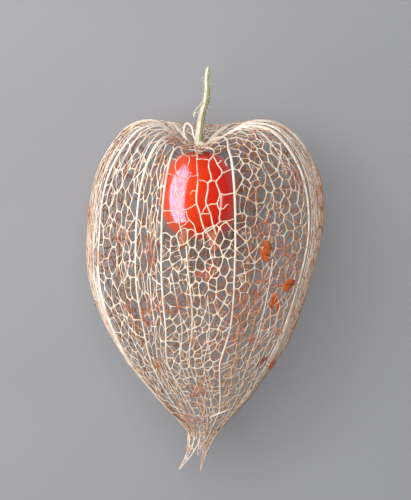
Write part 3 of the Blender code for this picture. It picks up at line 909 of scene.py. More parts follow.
@dataclass
class Ribs:
    """The ten ribs, each a bundle of fibres, and the edges and middle veins of the teeth.

    Attributes:
        husk: The surface.
        heights: Heights at which the radius of a rib is given.
        radii: Radius of a rib there.
        fibres: For each rib, the fibres that run beside it on the left and on the right.
        strands: Sectors that long strands run down, with their number.
        strand_start: Lowest and highest place at which they start.
        strand_radius: Their least and greatest radius.
        middles: Long veins down the middle of sectors: sector, first height, first and last share, radius.
        step: Levels from one point of a rib or strand to the next.
        unevenness: How much a rib swerves, in millimetres, and how much its radius varies.
        rib_end: Length over which a rib thins towards its end, and the share that is left.
        root_steps: Reach and height of the points that lead from the stalk to every rib.
        fibre_start: Lowest and highest place at which a fibre leaves its rib.
        fibre_drop: How much lower each further fibre leaves it.
        fibre_gap: Distance between two fibres.
        fibre_spread: Share of that distance along a fibre.
        fibre_radius: Radius of a fibre.
        collar_end: Lowest and highest place at which a collar strand ends.
        collar_gap: Least and greatest distance of a collar strand from its rib.
        collar_spread: Share of that distance along it.
        collar_radius: Its radius.
        fan: Strands from the stalk over the shoulders: place between the ribs, last height and radius.
        fan_taper: Places along such a strand, with the share of its radius there.
        arch: Route and radius of the loose strand that arches up behind the stalk.
        stub: Route and radius of the broken piece of rib above the teeth.
        edge_radii: Radius of a tooth's edge veins at the throat and at the tip.
        seed: Seed of the draws.
    """

    husk: Husk
    heights: tuple[float, ...] = (0.0, -12.0, -35.0, -51.0)
    radii: tuple[float, ...] = (0.22, 0.19, 0.175, 0.15)
    fibres: tuple[tuple[int, int], ...] = (
        (0, 0), (2, 4), (3, 2), (1, 1), (1, 1), (1, 2), (2, 3), (3, 1), (0, 0), (0, 0)
    )
    strands: tuple[tuple[int, int], ...] = ((1, 17), (6, 8))
    strand_start: Span = (-9.0, 2.0)
    strand_radius: Span = (0.06, 0.12)
    middles: tuple[tuple[int, float, float, float, float], ...] = (
        (9, -14.0, 0.34, 0.60, 0.13), (9, -19.0, 0.20, 0.38, 0.10), (9, -23.0, 0.66, 0.80, 0.09),
        (0, -17.0, 0.42, 0.55, 0.10), (0, -26.0, 0.72, 0.80, 0.08), (8, -20.0, 0.48, 0.40, 0.10),
    )
    step: float = 0.045
    unevenness: float = 0.08
    rib_end: Span = (5.0, 0.35)
    root_steps: tuple[Span, ...] = ((0.42, 1.75), (0.8, 1.2), (1.5, 1.05))
    fibre_start: Span = (-24.0, -8.0)
    fibre_drop: float = 3.0
    fibre_gap: float = 0.42
    fibre_spread: tuple[float, ...] = (0.0, 0.7, 1.0, 1.05, 1.0, 0.8, 0.45)
    fibre_radius: float = 0.115
    collar_end: Span = (-9.0, -2.0)
    collar_gap: Span = (0.3, 0.55)
    collar_spread: tuple[float, ...] = (0.35, 0.8, 1.0, 0.9, 0.2)
    collar_radius: float = 0.13
    fan: Trios = (
        (6.7, 1.0, 0.20), (7.2, -4.0, 0.24), (7.5, -1.0, 0.23), (7.8, -5.0, 0.24), (8.2, -3.0, 0.18),
        (0.75, -3.0, 0.20), (1.2, -4.0, 0.25), (1.45, -2.0, 0.20), (1.8, -1.0, 0.17),
    )
    fan_taper: tuple[tuple[float, ...], ...] = ((0.0, 0.6, 1.0), (1.1, 0.8, 0.2))
    arch: Strand = (
        (-1.3, 0.5, 1.2, 0.18), (-2.4, 1.0, 1.5, 0.19), (-3.5, 2.2, 3.3, 0.19), (-3.4, 2.9, 4.8, 0.20),
        (-2.75, 3.0, 5.2, 0.20), (-2.1, 2.7, 4.5, 0.19), (-1.8, 2.0, 3.2, 0.17), (-1.2, 0.8, 1.6, 0.18),
    )
    stub: Strand = (
        (5.4, -6.1, -46.6, 0.11), (4.2, -6.7, -46.9, 0.16), (2.6, -7.0, -47.5, 0.17),
        (1.2, -7.0, -48.1, 0.11),
    )
    edge_radii: Span = (0.16, 0.08)
    seed: int = 21

    def __post_init__(self) -> None:
        """Starts the seeded draws."""
        self.rng = np.random.default_rng(self.seed)

    def radius(self, height: Points) -> Points:
        """Radius of a rib at each height."""
        return np.interp(-height, [-h for h in self.heights], self.radii)

    def line(self, rib: int, start: float, end: float, aside: Points | float = 0.0) -> Points:
        """Points along a rib.

        Args:
            rib: Its number.
            start: First level.
            end: Last level.
            aside: Distance to its right, in millimetres, along the line.

        Returns:
            The points.
        """
        levels = np.arange(start, end, self.step)
        radius = self.husk.section(levels)[0]
        off = stretched(aside, len(levels)) / np.maximum(radius, 2.0)
        return self.husk.ring(rib * self.husk.sector + off, levels)

    def main_veins(self, data: MeshData) -> None:
        """Adds the ten ribs and runs every second one on to the tip of its tooth."""
        for rib in range(self.husk.ribs):
            path = self.rooted(self.line(rib, 0.0, self.husk.throat + 1e-6))
            if rib in self.husk.tooth_tips:
                path = np.vstack([path[:-1], self.husk.spine(rib, np.linspace(0, 1, 12))])
            path[:, 0] += self.wave(len(path), self.unevenness)
            radii = self.radius(path[:, 2]) * (1 + self.wave(len(path), self.unevenness))
            length, least = self.rib_end
            ends = np.clip((path[:, 2] - path[-1, 2]) / length, least, 1.0)
            data.tube(path, radii * ends, sides=8, flat=0.8)

    def rooted(self, path: Points) -> Points:
        """The way of a rib or strand, led up to the stalk."""
        middle = np.array([self.husk.outline[0][2] - self.husk.stalk_aside, 0.0, 0.0])
        way = path[0] - middle
        way[2] = 0.0
        way = unit(way)
        return np.vstack([*(middle + way * out + (0.0, 0.0, up) for out, up in self.root_steps), path])

    def wave(self, count: int, size: float) -> Points:
        """A smooth random curve."""
        return stretched(self.rng.normal(0.0, size, max(4, count // 6)), count)

    def side_fibres(self, data: MeshData) -> None:
        """Adds the fibres that leave each rib half way down and gather again at the throat."""
        for rib, (left, right) in enumerate(self.fibres):
            for side, amount in ((-1, left), (1, right)):
                for number in range(amount):
                    top = self.rng.uniform(*self.fibre_start) - self.fibre_drop * number
                    gap = side * self.fibre_gap * (number + 1 + self.rng.uniform(-0.2, 0.2))
                    spread = gap * np.array(self.fibre_spread)
                    spread += self.rng.normal(0.0, 0.07, len(spread))
                    aside = smooth_curve(spread[:, None], 6)[:, 0]
                    path = self.line(rib, self.husk.level_at(top), self.husk.throat, aside)
                    radii = self.fibre_radius * (1 + self.wave(len(path), 0.15))
                    data.tube(path, radii)

    def long_strands(self, data: MeshData) -> None:
        """Adds the strands that run down whole sectors and crowd together at the two flanks."""
        for sector, amount in self.strands:
            for number in range(amount):
                start = self.husk.level_at(self.rng.uniform(*self.strand_start))
                levels = np.arange(start, self.husk.throat, self.step)
                place = (number + self.rng.uniform(0.25, 0.75)) / amount
                drift = self.wave(len(levels), 0.025) + self.rng.uniform(-0.03, 0.03)
                across = np.clip(place + drift, 0.02, 0.98) * self.husk.sector
                path = self.husk.points(sector, across, levels)
                radii = self.rng.uniform(*self.strand_radius) * (1 + self.wave(len(path), 0.15))
                data.tube(path, radii)

    def middle_veins(self, data: MeshData) -> None:
        """Adds the long wavy veins that run down the middle of the sectors in front."""
        for sector, top, first, last, size in self.middles:
            levels = np.arange(self.husk.level_at(top), self.husk.throat, self.step)
            share = np.linspace(first, last, len(levels)) + self.wave(len(levels), 0.028)
            path = self.husk.points(sector, np.clip(share, 0.02, 0.98) * self.husk.sector, levels)
            data.tube(path, size * (1 + self.wave(len(path), 0.14)))

    def broken_stub(self, data: MeshData) -> None:
        """Adds the broken piece of rib that lies across the front above the teeth."""
        line = smooth_curve(self.stub, 4)
        data.tube(line[:, :3], line[:, 3], sides=7, flat=0.8)

    def collar_fibres(self, data: MeshData) -> None:
        """Adds the short strands that fan from the stalk's foot over the shoulder."""
        for rib in range(1, self.husk.ribs - 1):
            for side in (-1, 1):
                end = self.husk.level_at(self.rng.uniform(*self.collar_end))
                spread = side * self.rng.uniform(*self.collar_gap) * np.array(self.collar_spread)
                path = self.rooted(self.line(rib, 0.0, end, smooth_curve(spread[:, None], 5)[:, 0]))
                data.tube(path, self.collar_radius * (1 + self.wave(len(path), 0.12)))

    def shoulder_strands(self) -> Piece:
        """Makes the thick pale strands that fan from the stalk over the shoulders, and the arched one.

        Returns:
            The strands as one object.
        """
        data = MeshData()
        for place, last, size in self.fan:
            levels = np.arange(0.0, self.husk.level_at(last), self.step)
            drift = smooth_curve(self.rng.normal(0.0, 0.09, (5, 1)), 6)[:, 0]
            path = self.husk.ring((place + stretched(drift, len(levels))) * self.husk.sector, levels)
            path = self.rooted(path)
            taper = np.interp(np.linspace(0, 1, len(path)), *self.fan_taper)
            data.tube(path, size * (1 + self.wave(len(path), 0.1)) * taper, sides=7, flat=0.85)
        arch = smooth_curve(self.arch, 5)
        data.tube(arch[:, :3], arch[:, 3], sides=7)
        return data.build("husk_shoulder_strands")

    def tooth_edges(self, data: MeshData) -> None:
        """Adds the two edge veins of each tooth."""
        for rib in self.husk.tooth_tips:
            for side in (-1, 1):
                sector = rib if side > 0 else (rib - 1) % self.husk.ribs
                across = self.husk.sector if side > 0 else 0.0
                levels = np.linspace(self.husk.throat - 0.02, self.husk.tip - 1e-3, 14)
                path = self.husk.points(sector, np.full(14, across), levels)
                data.tube(path, np.linspace(*self.edge_radii, 14))

    def build(self) -> Piece:
        """Makes the piece.

        Returns:
            The ribs as one object.
        """
        data = MeshData()
        self.main_veins(data)
        self.side_fibres(data)
        self.long_strands(data)
        self.collar_fibres(data)
        self.middle_veins(data)
        self.tooth_edges(data)
        self.broken_stub(data)
        return data.build("husk_ribs")


@dataclass
class OverBerry:
    """The long wavy veins in front of the berry, with the rungs between them, placed as they are seen.

    Attributes:
        husk: The surface.
        sector: The sector that they cross.
        window: Lowest and highest place that they fill.
        lift: How far they may stand off the surface.
        veins: Half the width of each, and sideways and upward places along it.
        seed: Seed of the draws.
    """

    husk: Husk
    sector: int = 9
    window: Span = (-14.7, 0.2)
    lift: float = 0.1
    veins: tuple[tuple[float, tuple[Span, ...]], ...] = (
        (0.16, ((-1.1, 0.4), (-1.1, -2.2), (-0.9, -5.0), (-1.1, -7.9), (-1.1, -9.6),
                (-0.5, -11.5), (0.2, -14.2))),
        (0.14, ((0.3, 0.5), (1.5, 0.3), (2.0, -0.7), (1.1, -2.1), (1.1, -3.7), (1.5, -5.3), (0.9, -5.9))),
        (0.14, ((0.9, -5.9), (0.8, -7.3), (0.5, -9.3), (0.8, -10.2), (1.3, -11.5), (1.8, -13.4),
                (2.3, -15.0))),
        (0.14, ((1.9, -1.2), (2.6, -2.8), (3.4, -4.2), (2.3, -5.8), (3.0, -7.9), (2.5, -9.6),
                (3.0, -10.7))),
        (0.12, ((3.0, -10.7), (2.9, -12.1), (2.7, -13.2), (0.3, -14.8))),
        (0.09, ((-3.3, -0.6), (-4.6, -1.9), (-4.9, -3.0), (-4.7, -5.0), (-4.8, -7.2), (-4.3, -8.4))),
        (0.09, ((-4.3, -8.4), (-4.4, -10.8), (-4.2, -12.6), (-3.8, -14.8))),
        (0.12, ((-3.8, 0.3), (-3.6, -0.6), (-2.5, -1.1), (-1.1, -0.9))),
        (0.10, ((-2.5, -1.1), (-2.4, -2.0), (-2.7, -2.8))),
        (0.10, ((-7.3, -4.1), (-5.0, -4.6), (-3.2, -5.2), (-2.2, -4.8), (-1.0, -4.5))),
        (0.11, ((-3.2, -5.2), (-3.2, -6.5), (-3.3, -7.7), (-3.9, -8.4))),
        (0.10, ((-7.4, -10.9), (-5.0, -11.0), (-3.2, -10.8), (-1.2, -9.7))),
        (0.11, ((-1.0, -1.8), (0.1, -1.7), (1.1, -1.9))),
        (0.10, ((-0.9, -5.4), (0.1, -5.6), (0.9, -5.9), (1.6, -5.5), (2.3, -5.8))),
        (0.11, ((3.4, -4.2), (4.3, -3.9), (5.4, -3.4))),
        (0.12, ((3.0, -7.9), (4.2, -8.0), (5.8, -7.8))),
        (0.11, ((0.6, -9.9), (1.5, -9.8), (2.5, -9.6))),
        (0.10, ((3.0, -10.7), (3.7, -10.3), (4.4, -9.7))),
        (0.10, ((0.6, -10.0), (0.2, -10.6), (-0.2, -11.2))),
        (0.09, ((-1.1, -7.6), (-1.8, -7.4), (-2.2, -7.9))),
        (0.08, ((2.5, -2.6), (2.9, -2.3), (3.3, -1.9))),
        (0.08, ((-4.8, -7.1), (-5.1, -7.5), (-5.6, -7.9))),
        (0.11, ((-3.0, -11.0), (-2.5, -12.4), (-1.6, -13.3), (-1.1, -15.4))),
        (0.10, ((-2.5, -12.4), (-3.2, -13.2), (-4.0, -13.9))),
        (0.10, ((-0.5, -11.5), (0.4, -11.3), (1.3, -11.5))),
        (0.11, ((2.8, -12.9), (4.2, -12.7), (5.6, -12.2))),
        (0.09, ((-4.2, -12.6), (-5.4, -12.9), (-6.4, -13.1))),
        (0.10, ((3.2, 0.6), (3.0, -0.4), (2.1, -0.9))),
        (0.08, ((4.6, -1.4), (3.9, -2.2), (4.2, -2.9))),
        (0.09, ((-7.0, -1.6), (-5.8, -1.4), (-4.6, -1.9))),
    )
    seed: int = 17

    def cleared(self, cells: Cells) -> Cells:
        """Leaves out the cells that these veins stand in for."""
        centres = np.array([cells.places[face].mean(axis=0) for face in cells.faces])
        points = self.husk.points(self.sector, *centres.T)
        up = self.husk.picture(points)[:, 1]
        low, high = self.window
        inside = (centres[:, 1] > self.husk.seen_from) & (up > low) & (up < high)
        kept = [face for face, gone in zip(cells.faces, inside) if not gone]
        return Cells(cells.places, kept, cells.widths)

    def build(self) -> Piece:
        """Makes the veins.

        Returns:
            All of them as one piece.
        """
        rng = np.random.default_rng(self.seed)
        data = MeshData()
        for radius, route in self.veins:
            _, flat = self.husk.under(smooth_curve(route, 2), (self.sector,))
            flat = smooth_curve(flat, 4)
            ways = stretched(rng.uniform(-1.0, 1.0, 6), len(flat))
            out = self.husk.normals(self.sector, *flat.T)
            path = self.husk.points(self.sector, *flat.T) + out * (self.lift * ways)[:, None]
            data.tube(path, radius * (1 + 0.16 * np.roll(ways, 3)), sides=7, flat=0.85)
        return data.build("husk_veins_over_berry")


@dataclass
class Net:
    """The net of veins between the ribs, in five pieces, and the loose vein ends inside its cells.

    Attributes:
        husk: The surface.
        seed: Seed of its draws.
        groups: Name of each piece, with the sectors that it holds.
        end_chance: Chance that a cell holds a loose vein end, and that a large one holds another.
        end_cells: Size from which a cell may hold one, and another.
        fork_chance: Chance that a vein end is forked.
    """

    husk: Husk
    seed: int = 5
    groups: tuple[tuple[str, tuple[int, ...]], ...] = (
        ("husk_net_front_left", (8, 9)),
        ("husk_net_front_right", (0, 1)),
        ("husk_net_right", (2, 3)),
        ("husk_net_back", (4, 5)),
        ("husk_net_left", (6, 7)),
    )
    end_chance: Span = (0.6, 0.5)
    end_cells: Span = (0.75, 1.3)
    fork_chance: float = 0.3

    def plan(self) -> dict[int, Cells]:
        """Plans every sector's cells."""
        plans = {
            sector: CellPlan(self.husk, np.random.default_rng([self.seed, sector]), sector).sector()
            for sector in range(self.husk.ribs)
        }
        over = OverBerry(self.husk)
        plans[over.sector] = over.cleared(plans[over.sector])
        return plans

    def build(self, plans: dict[int, Cells]) -> list[Piece]:
        """Makes the net.

        Args:
            plans: Cells of each sector.

        Returns:
            Its pieces.
        """
        pieces = []
        for name, sectors in self.groups:
            data = MeshData()
            for sector in sectors:
                solid = NetSolid(self.husk, np.random.default_rng([self.seed, 50 + sector]))
                solid.add_to(data, sector, plans[sector])
            pieces.append(data.build(name, smoothing=1))
        return pieces

    def vein_ends(self, plans: dict[int, Cells]) -> Piece:
        """Makes the loose vein ends, which curl a little off the surface.

        Args:
            plans: Cells of each sector.

        Returns:
            All of them as one piece.
        """
        rng = np.random.default_rng([self.seed, 99])
        one, another = self.end_chance
        small, large = self.end_cells
        data = MeshData()
        for sector, cells in plans.items():
            for face in cells.faces:
                corners = self.husk.points(sector, *cells.places[face].T)
                size = float(np.linalg.norm(corners - corners.mean(axis=0), axis=1).mean())
                if size < small or rng.random() > one:
                    continue
                self.vein_end(data, rng, corners, size)
                if size > large and rng.random() < another:
                    self.vein_end(data, rng, corners, size)
        return data.build("husk_vein_ends")

    def vein_end(self, data: MeshData, rng: Rng, corners: Points, size: float) -> None:
        """Adds one loose vein end, sometimes forked.

        Args:
            data: The mesh that it is added to.
            rng: Source of the seeded draws.
            corners: Corners of its cell.
            size: Mean distance of the corners from the middle.
        """
        middle = corners.mean(axis=0)
        k = int(rng.integers(len(corners)))
        start = corners[k] + (corners[(k + 1) % len(corners)] - corners[k]) * rng.uniform(0.3, 0.7)
        ring = np.roll(corners, -1, axis=0) - middle
        out = unit(np.cross(corners - middle, ring).sum(axis=0))
        if out @ (middle - np.array([0.0, 0.0, middle[2]])) < 0:
            out = -out
        way = unit(middle - start)
        aside = np.cross(out, way)
        length = size * rng.uniform(0.55, 1.0)
        curl = rng.uniform(-0.5, 0.5)
        lift = rng.uniform(-0.12, 0.22)
        t = np.linspace(0, 1, 7)[:, None]
        path = start + length * (way * t + aside * curl * t**2) + out * lift * t**1.5 * size
        path[:, 1] = np.minimum(path[:, 1], self.husk.floor_y + 0.1)
        data.tube(path, np.linspace(0.105, 0.055, 7), sides=5)
        if rng.random() < self.fork_chance:
            fork = path[3] + length * 0.4 * (way * 0.7 * t - np.sign(curl) * aside * t)
            data.tube(fork[:5], np.linspace(0.07, 0.045, 5), sides=5)


@dataclass
class Berry:
    """The round berry, with its dimple under the stalk and the small scar at its foot.

    Attributes:
        outline: Radius and height, from the dimple to the foot.
        inset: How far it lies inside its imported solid.
        scar_depth: How far the scar at its foot is pressed in.
        sides: Steps round it.
        seed: Seed of its unevenness.
    """

    outline: tuple[Span, ...] = (
        (0.0, -0.5), (1.7, -0.4), (2.9, 0.0), (4.4, -0.8), (6.2, -3.1), (7.15, -5.9), (7.3, -8.7),
        (6.8, -11.7), (5.3, -14.3), (2.9, -15.6), (0.0, BERRY_BOTTOM),
    )
    inset: float = 0.06
    scar_depth: float = 0.12
    sides: int = 96
    seed: int = 3

    def build(self) -> Piece:
        """Makes the piece.

        Returns:
            The berry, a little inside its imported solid.
        """
        rng = np.random.default_rng(self.seed)
        profile = smooth_curve(self.outline, 7)
        angles = ring_angles(self.sides)
        swell = sum(
            rng.uniform(0.02, 0.05) / order * np.cos(order * angles + rng.uniform(0, 6.3))
            for order in (2, 3, 5)
        )
        rings = []
        for radius, height in profile[1:-1]:
            size = radius - self.inset + swell * min(1.0, radius / 4.0)
            rings.append(ring_points(BERRY_X, size, height, angles))
        poles = [[BERRY_X, 0.0, profile[0][1]], [BERRY_X, 0.0, profile[-1][1] + self.scar_depth]]
        faces = bands(len(rings), self.sides)
        first = len(rings) * self.sides
        last = first - self.sides
        for i in range(self.sides):
            faces.append((first, i, (i + 1) % self.sides))
            faces.append((first + 1, last + (i + 1) % self.sides, last + i))
        data = MeshData()
        data.add(np.vstack([*rings, poles]), faces)
        return data.build("berry_fruit")


Corners = tuple[int, Points, Points]


@dataclass
class Skin:
    """What is left of the skin between the veins: orange scraps, thin brown films and the tan collar.

    Attributes:
        husk: The surface.
        orange: Small orange scraps: across, up, half the width and half the height.
        brown: Small brown films, in the same way.
        pale: Small pale scraps.
        thickness: Half the thickness of a sheet.
        brown_routes: Routes of the films below the berry: across, up and half the width.
        orange_routes: Routes of the three large orange scraps.
        pale_routes: Routes of the pale scraps.
        route_depth: How far inside the net films lie, and orange scraps.
        collar_reach: Distances from the stalk to which shoulder cells hold tissue, all round and on the left.
        small_cell: Reach of the corners of a cell that is small enough to hold some of its own.
        tissue_chance: Chance that a shoulder cell and such a small cell do.
        collar_sides: Steps round the collar.
        seed: Seed of the draws.
    """

    husk: Husk
    orange: Strand = ((13.5, -28.9, 0.3, 0.4), (12.7, -26.5, 0.3, 0.4))
    brown: Strand = ((-0.9, -22.3, 0.3, 0.4), (10.5, -38.6, 0.3, 0.4))
    pale: Strand = ((4.6, -45.9, 0.3, 0.3), (8.9, -31.6, 0.4, 0.4))
    thickness: float = 0.05
    brown_routes: tuple[Trios, ...] = (
        ((-3.3, -13.8, 0.85), (-3.2, -15.0, 1.05), (-3.3, -16.3, 0.95), (-3.8, -17.7, 0.6)),
        ((1.2, -13.8, 0.95), (1.6, -15.0, 1.1), (1.85, -16.5, 0.95), (2.0, -18.1, 0.7)),
        ((1.5, -20.6, 0.35), (1.4, -21.5, 0.85), (1.2, -22.6, 0.9), (0.9, -23.5, 0.4)),
    )
    orange_routes: tuple[Trios, ...] = (
        ((11.0, -16.2, 0.5), (11.2, -17.2, 1.0), (11.0, -18.6, 1.05), (11.1, -19.8, 0.6)),
        ((15.7, -23.0, 0.8), (15.2, -24.0, 0.85), (14.7, -25.2, 0.35)),
        ((12.8, -38.1, 0.35), (12.7, -38.8, 0.6), (12.4, -39.6, 0.4)),
    )
    pale_routes: tuple[Trios, ...] = (
        ((1.5, -42.0, 0.5), (1.7, -42.9, 0.9), (1.9, -43.9, 0.5)),
        ((4.0, -41.1, 0.3), (3.9, -41.9, 0.5), (3.8, -42.7, 0.3)),
        ((8.0, -19.8, 0.3), (8.1, -20.4, 0.4)),
        ((9.4, -31.0, 0.3), (9.3, -32.0, 0.35)),
    )
    route_depth: Span = (0.3, -0.2)
    collar_reach: Span = (3.4, 6.5)
    small_cell: float = 1.3
    tissue_chance: Span = (0.4, 0.03)
    collar_sides: int = 80
    seed: int = 31

    def __post_init__(self) -> None:
        """Starts the seeded draws."""
        self.rng = np.random.default_rng(self.seed)

    def corners(self, plans: dict[int, Cells]) -> list[Corners]:
        """Sector, unrolled corners and corner points of every cell."""
        found = []
        for sector, cells in plans.items():
            for face in cells.faces:
                flat = cells.places[face]
                found.append((sector, flat, self.husk.points(sector, *flat.T)))
        return found

    def sheet(self, data: MeshData, sector: int, flat: Points, keep: float) -> None:
        """Adds one thin sheet that fills a cell.

        Args:
            data: The mesh that it is added to.
            sector: Its sector.
            flat: Corners of the cell in the unrolled plane.
            keep: Share of the cell that is still filled, from one side.
        """
        middle = flat.mean(axis=0)
        rim = []
        for here, after in zip(flat, np.roll(flat, -1, axis=0)):
            rim += [here, here + (after - here) / 3, here + (after - here) * 2 / 3]
        rim = np.array(rim)
        if keep < 1.0:
            way = self.rng.normal(size=2) * (1.0, 0.6)
            way /= np.linalg.norm(way)
            depth = (rim - middle) @ way
            edge = np.quantile(depth, keep) * self.rng.uniform(0.75, 1.0, len(rim))
            rim = rim - np.maximum(0.0, depth - edge)[:, None] * way
            middle = rim.mean(axis=0)
        inner = middle + (rim - middle) * self.rng.uniform(0.42, 0.6, len(rim))[:, None]
        flat = np.vstack([rim, inner, middle[None]])
        places = self.husk.points(sector, *flat.T)
        out = self.husk.normals(sector, *flat.T)
        size = len(rim)
        places[size:] -= out[size:] * self.rng.uniform(0.0, 0.22, size + 1)[:, None]
        count = len(places)
        top, low = places + out * self.thickness, places - out * self.thickness
        faces: list[Face] = []
        for k in range(size):
            j = (k + 1) % size
            faces += [(k, j, size + j, size + k), (size + k, size + j, 2 * size)]
            faces += [(count + j, count + k, count + size + k, count + size + j)]
            faces += [(count + size + j, count + size + k, count + 2 * size)]
            faces += [(j, k, count + k, count + j)]
        data.add(np.vstack([top, low]), faces)

    def ribbon(self, data: MeshData, route: Trios, depth: float) -> None:
        """Adds a ragged film along a route in the picture.

        Args:
            data: The mesh that it is added to.
            route: Places down its middle.
            depth: How far inside the net it lies, in millimetres.
        """
        line = smooth_curve(route, 4)
        shares = np.array([-1.0, -0.4, 0.3, 1.0])
        across = line[:, :1] + shares * line[:, 2:] * self.rng.uniform(0.65, 1.15, (len(line), 4))
        up = line[:, 1:2] + self.rng.normal(0.0, 0.11, (len(line), 4))
        sector, flat = self.husk.under(np.stack([across.ravel(), up.ravel()], axis=1), (8, 9, 0, 1))
        out = self.husk.normals(sector, *flat.T)
        off = depth + self.rng.uniform(-0.08, 0.08, len(flat))
        top = self.husk.points(sector, *flat.T) - out * off[:, None]
        low = top - out * 2 * self.thickness
        count = len(top)
        faces: list[Face] = []
        for k in range(len(line) - 1):
            for j in range(3):
                a = 4 * k + j
                faces += [(a, a + 4, a + 5, a + 1), (count + a, count + a + 1, count + a + 5, count + a + 4)]
            faces += [(4 * k, count + 4 * k, count + 4 * k + 4, 4 * k + 4)]
            faces += [(4 * k + 3, 4 * k + 7, count + 4 * k + 7, count + 4 * k + 3)]
        for j in range(3):
            end = count - 4 + j
            faces += [(j, j + 1, count + j + 1, count + j), (end + 1, end, count + end, count + end + 1)]
        data.add(np.vstack([top, low]), faces)

    def collar(self, data: MeshData) -> None:
        """Adds the pleated tissue that joins the ribs' roots round the stalk."""
        sides = self.collar_sides
        angles = ring_angles(sides)
        pleats = np.cos(self.husk.ribs * angles)
        rings = []
        for share in (0.0, 0.2, 0.45, 0.7, 1.0):
            reach = 0.45 + share * (2.15 + 0.55 * pleats + 0.25 * np.sin(3 * angles + 1))
            up = 1.75 - 0.75 * math.sin(share * 2.6) + 0.12 * pleats * share
            middle = self.husk.outline[0][2] - self.husk.stalk_aside * (1 - share)
            rings.append(ring_points(middle, reach, up, angles))
        top = np.vstack(rings)
        count, rim = len(top), len(top) - sides
        faces: list[Face] = []
        for a, c, d, b in bands(len(rings), sides):
            faces += [(a, c, d, b), (count + a, count + b, count + d, count + c)]
        for k in range(sides):
            j = (k + 1) % sides
            faces += [(k, j, count + j, count + k), (rim + j, rim + k, count + rim + k, count + rim + j)]
        data.add(np.vstack([top, top - (0.0, 0.0, 0.12)]), faces)

    def chosen(self, scraps: Strand, cells: list[Corners]) -> list[tuple[int, float]]:
        """Numbers of the seen cells under some scraps, with the share of each that is filled."""
        seen = [i for i, (_, _, points) in enumerate(cells) if points[:, 1].mean() < -1.0]
        places = np.array([self.husk.picture(cells[i][2]).mean(axis=0) for i in seen])
        found: dict[int, float] = {}
        for across, up, wide, tall in scraps:
            off = (places - (across, up)) / (wide + 0.1, tall + 0.1)
            away = np.linalg.norm(off, axis=1)
            for k in [int(away.argmin()), *np.flatnonzero(away < 1.0)]:
                found[seen[k]] = 0.55 if away[k] > 0.5 else 0.8
        return list(found.items())

    def build(self, plans: dict[int, Cells]) -> dict[str, Piece]:
        """Makes the three pieces.

        Args:
            plans: Cells of each sector.

        Returns:
            The pieces by name.
        """
        cells = self.corners(plans)
        orange, brown, pale = MeshData(), MeshData(), MeshData()
        for data, scraps in ((orange, self.orange), (brown, self.brown), (pale, self.pale)):
            for i, keep in self.chosen(scraps, cells):
                self.sheet(data, cells[i][0], cells[i][1], keep)
        inside, outside = self.route_depth
        for data, routes, depth in (
            (orange, self.orange_routes, outside),
            (brown, self.brown_routes, inside),
            (pale, self.pale_routes, inside),
        ):
            for route in routes:
                self.ribbon(data, route, depth)
        self.tissue(pale, cells)
        self.collar(pale)
        pieces = {"skin_orange_scraps": orange, "skin_brown_films": brown, "skin_tan_tissue": pale}
        return {name: data.build(name) for name, data in pieces.items()}

    def tissue(self, data: MeshData, cells: list[Corners]) -> None:
        """Adds what is left of the tan tissue in cells near the stalk and in some of the smallest.

        Args:
            data: The mesh that it is added to.
            cells: All cells.
        """
        close, wide = self.collar_reach
        often, seldom = self.tissue_chance
        for sector, flat, points in cells:
            radius = float(np.hypot(points[:, 0] + 0.6, points[:, 1]).mean())
            near = radius < close or (radius < wide and sector == 8)
            reach = float(np.linalg.norm(points - points.mean(axis=0), axis=1).max())
            chance = seldom if reach < self.small_cell else 0.0
            if near and points[:, 2].mean() > 0.0:
                chance = often
            if self.rng.random() < chance:
                self.sheet(data, sector, flat, self.rng.uniform(0.25, 0.6))


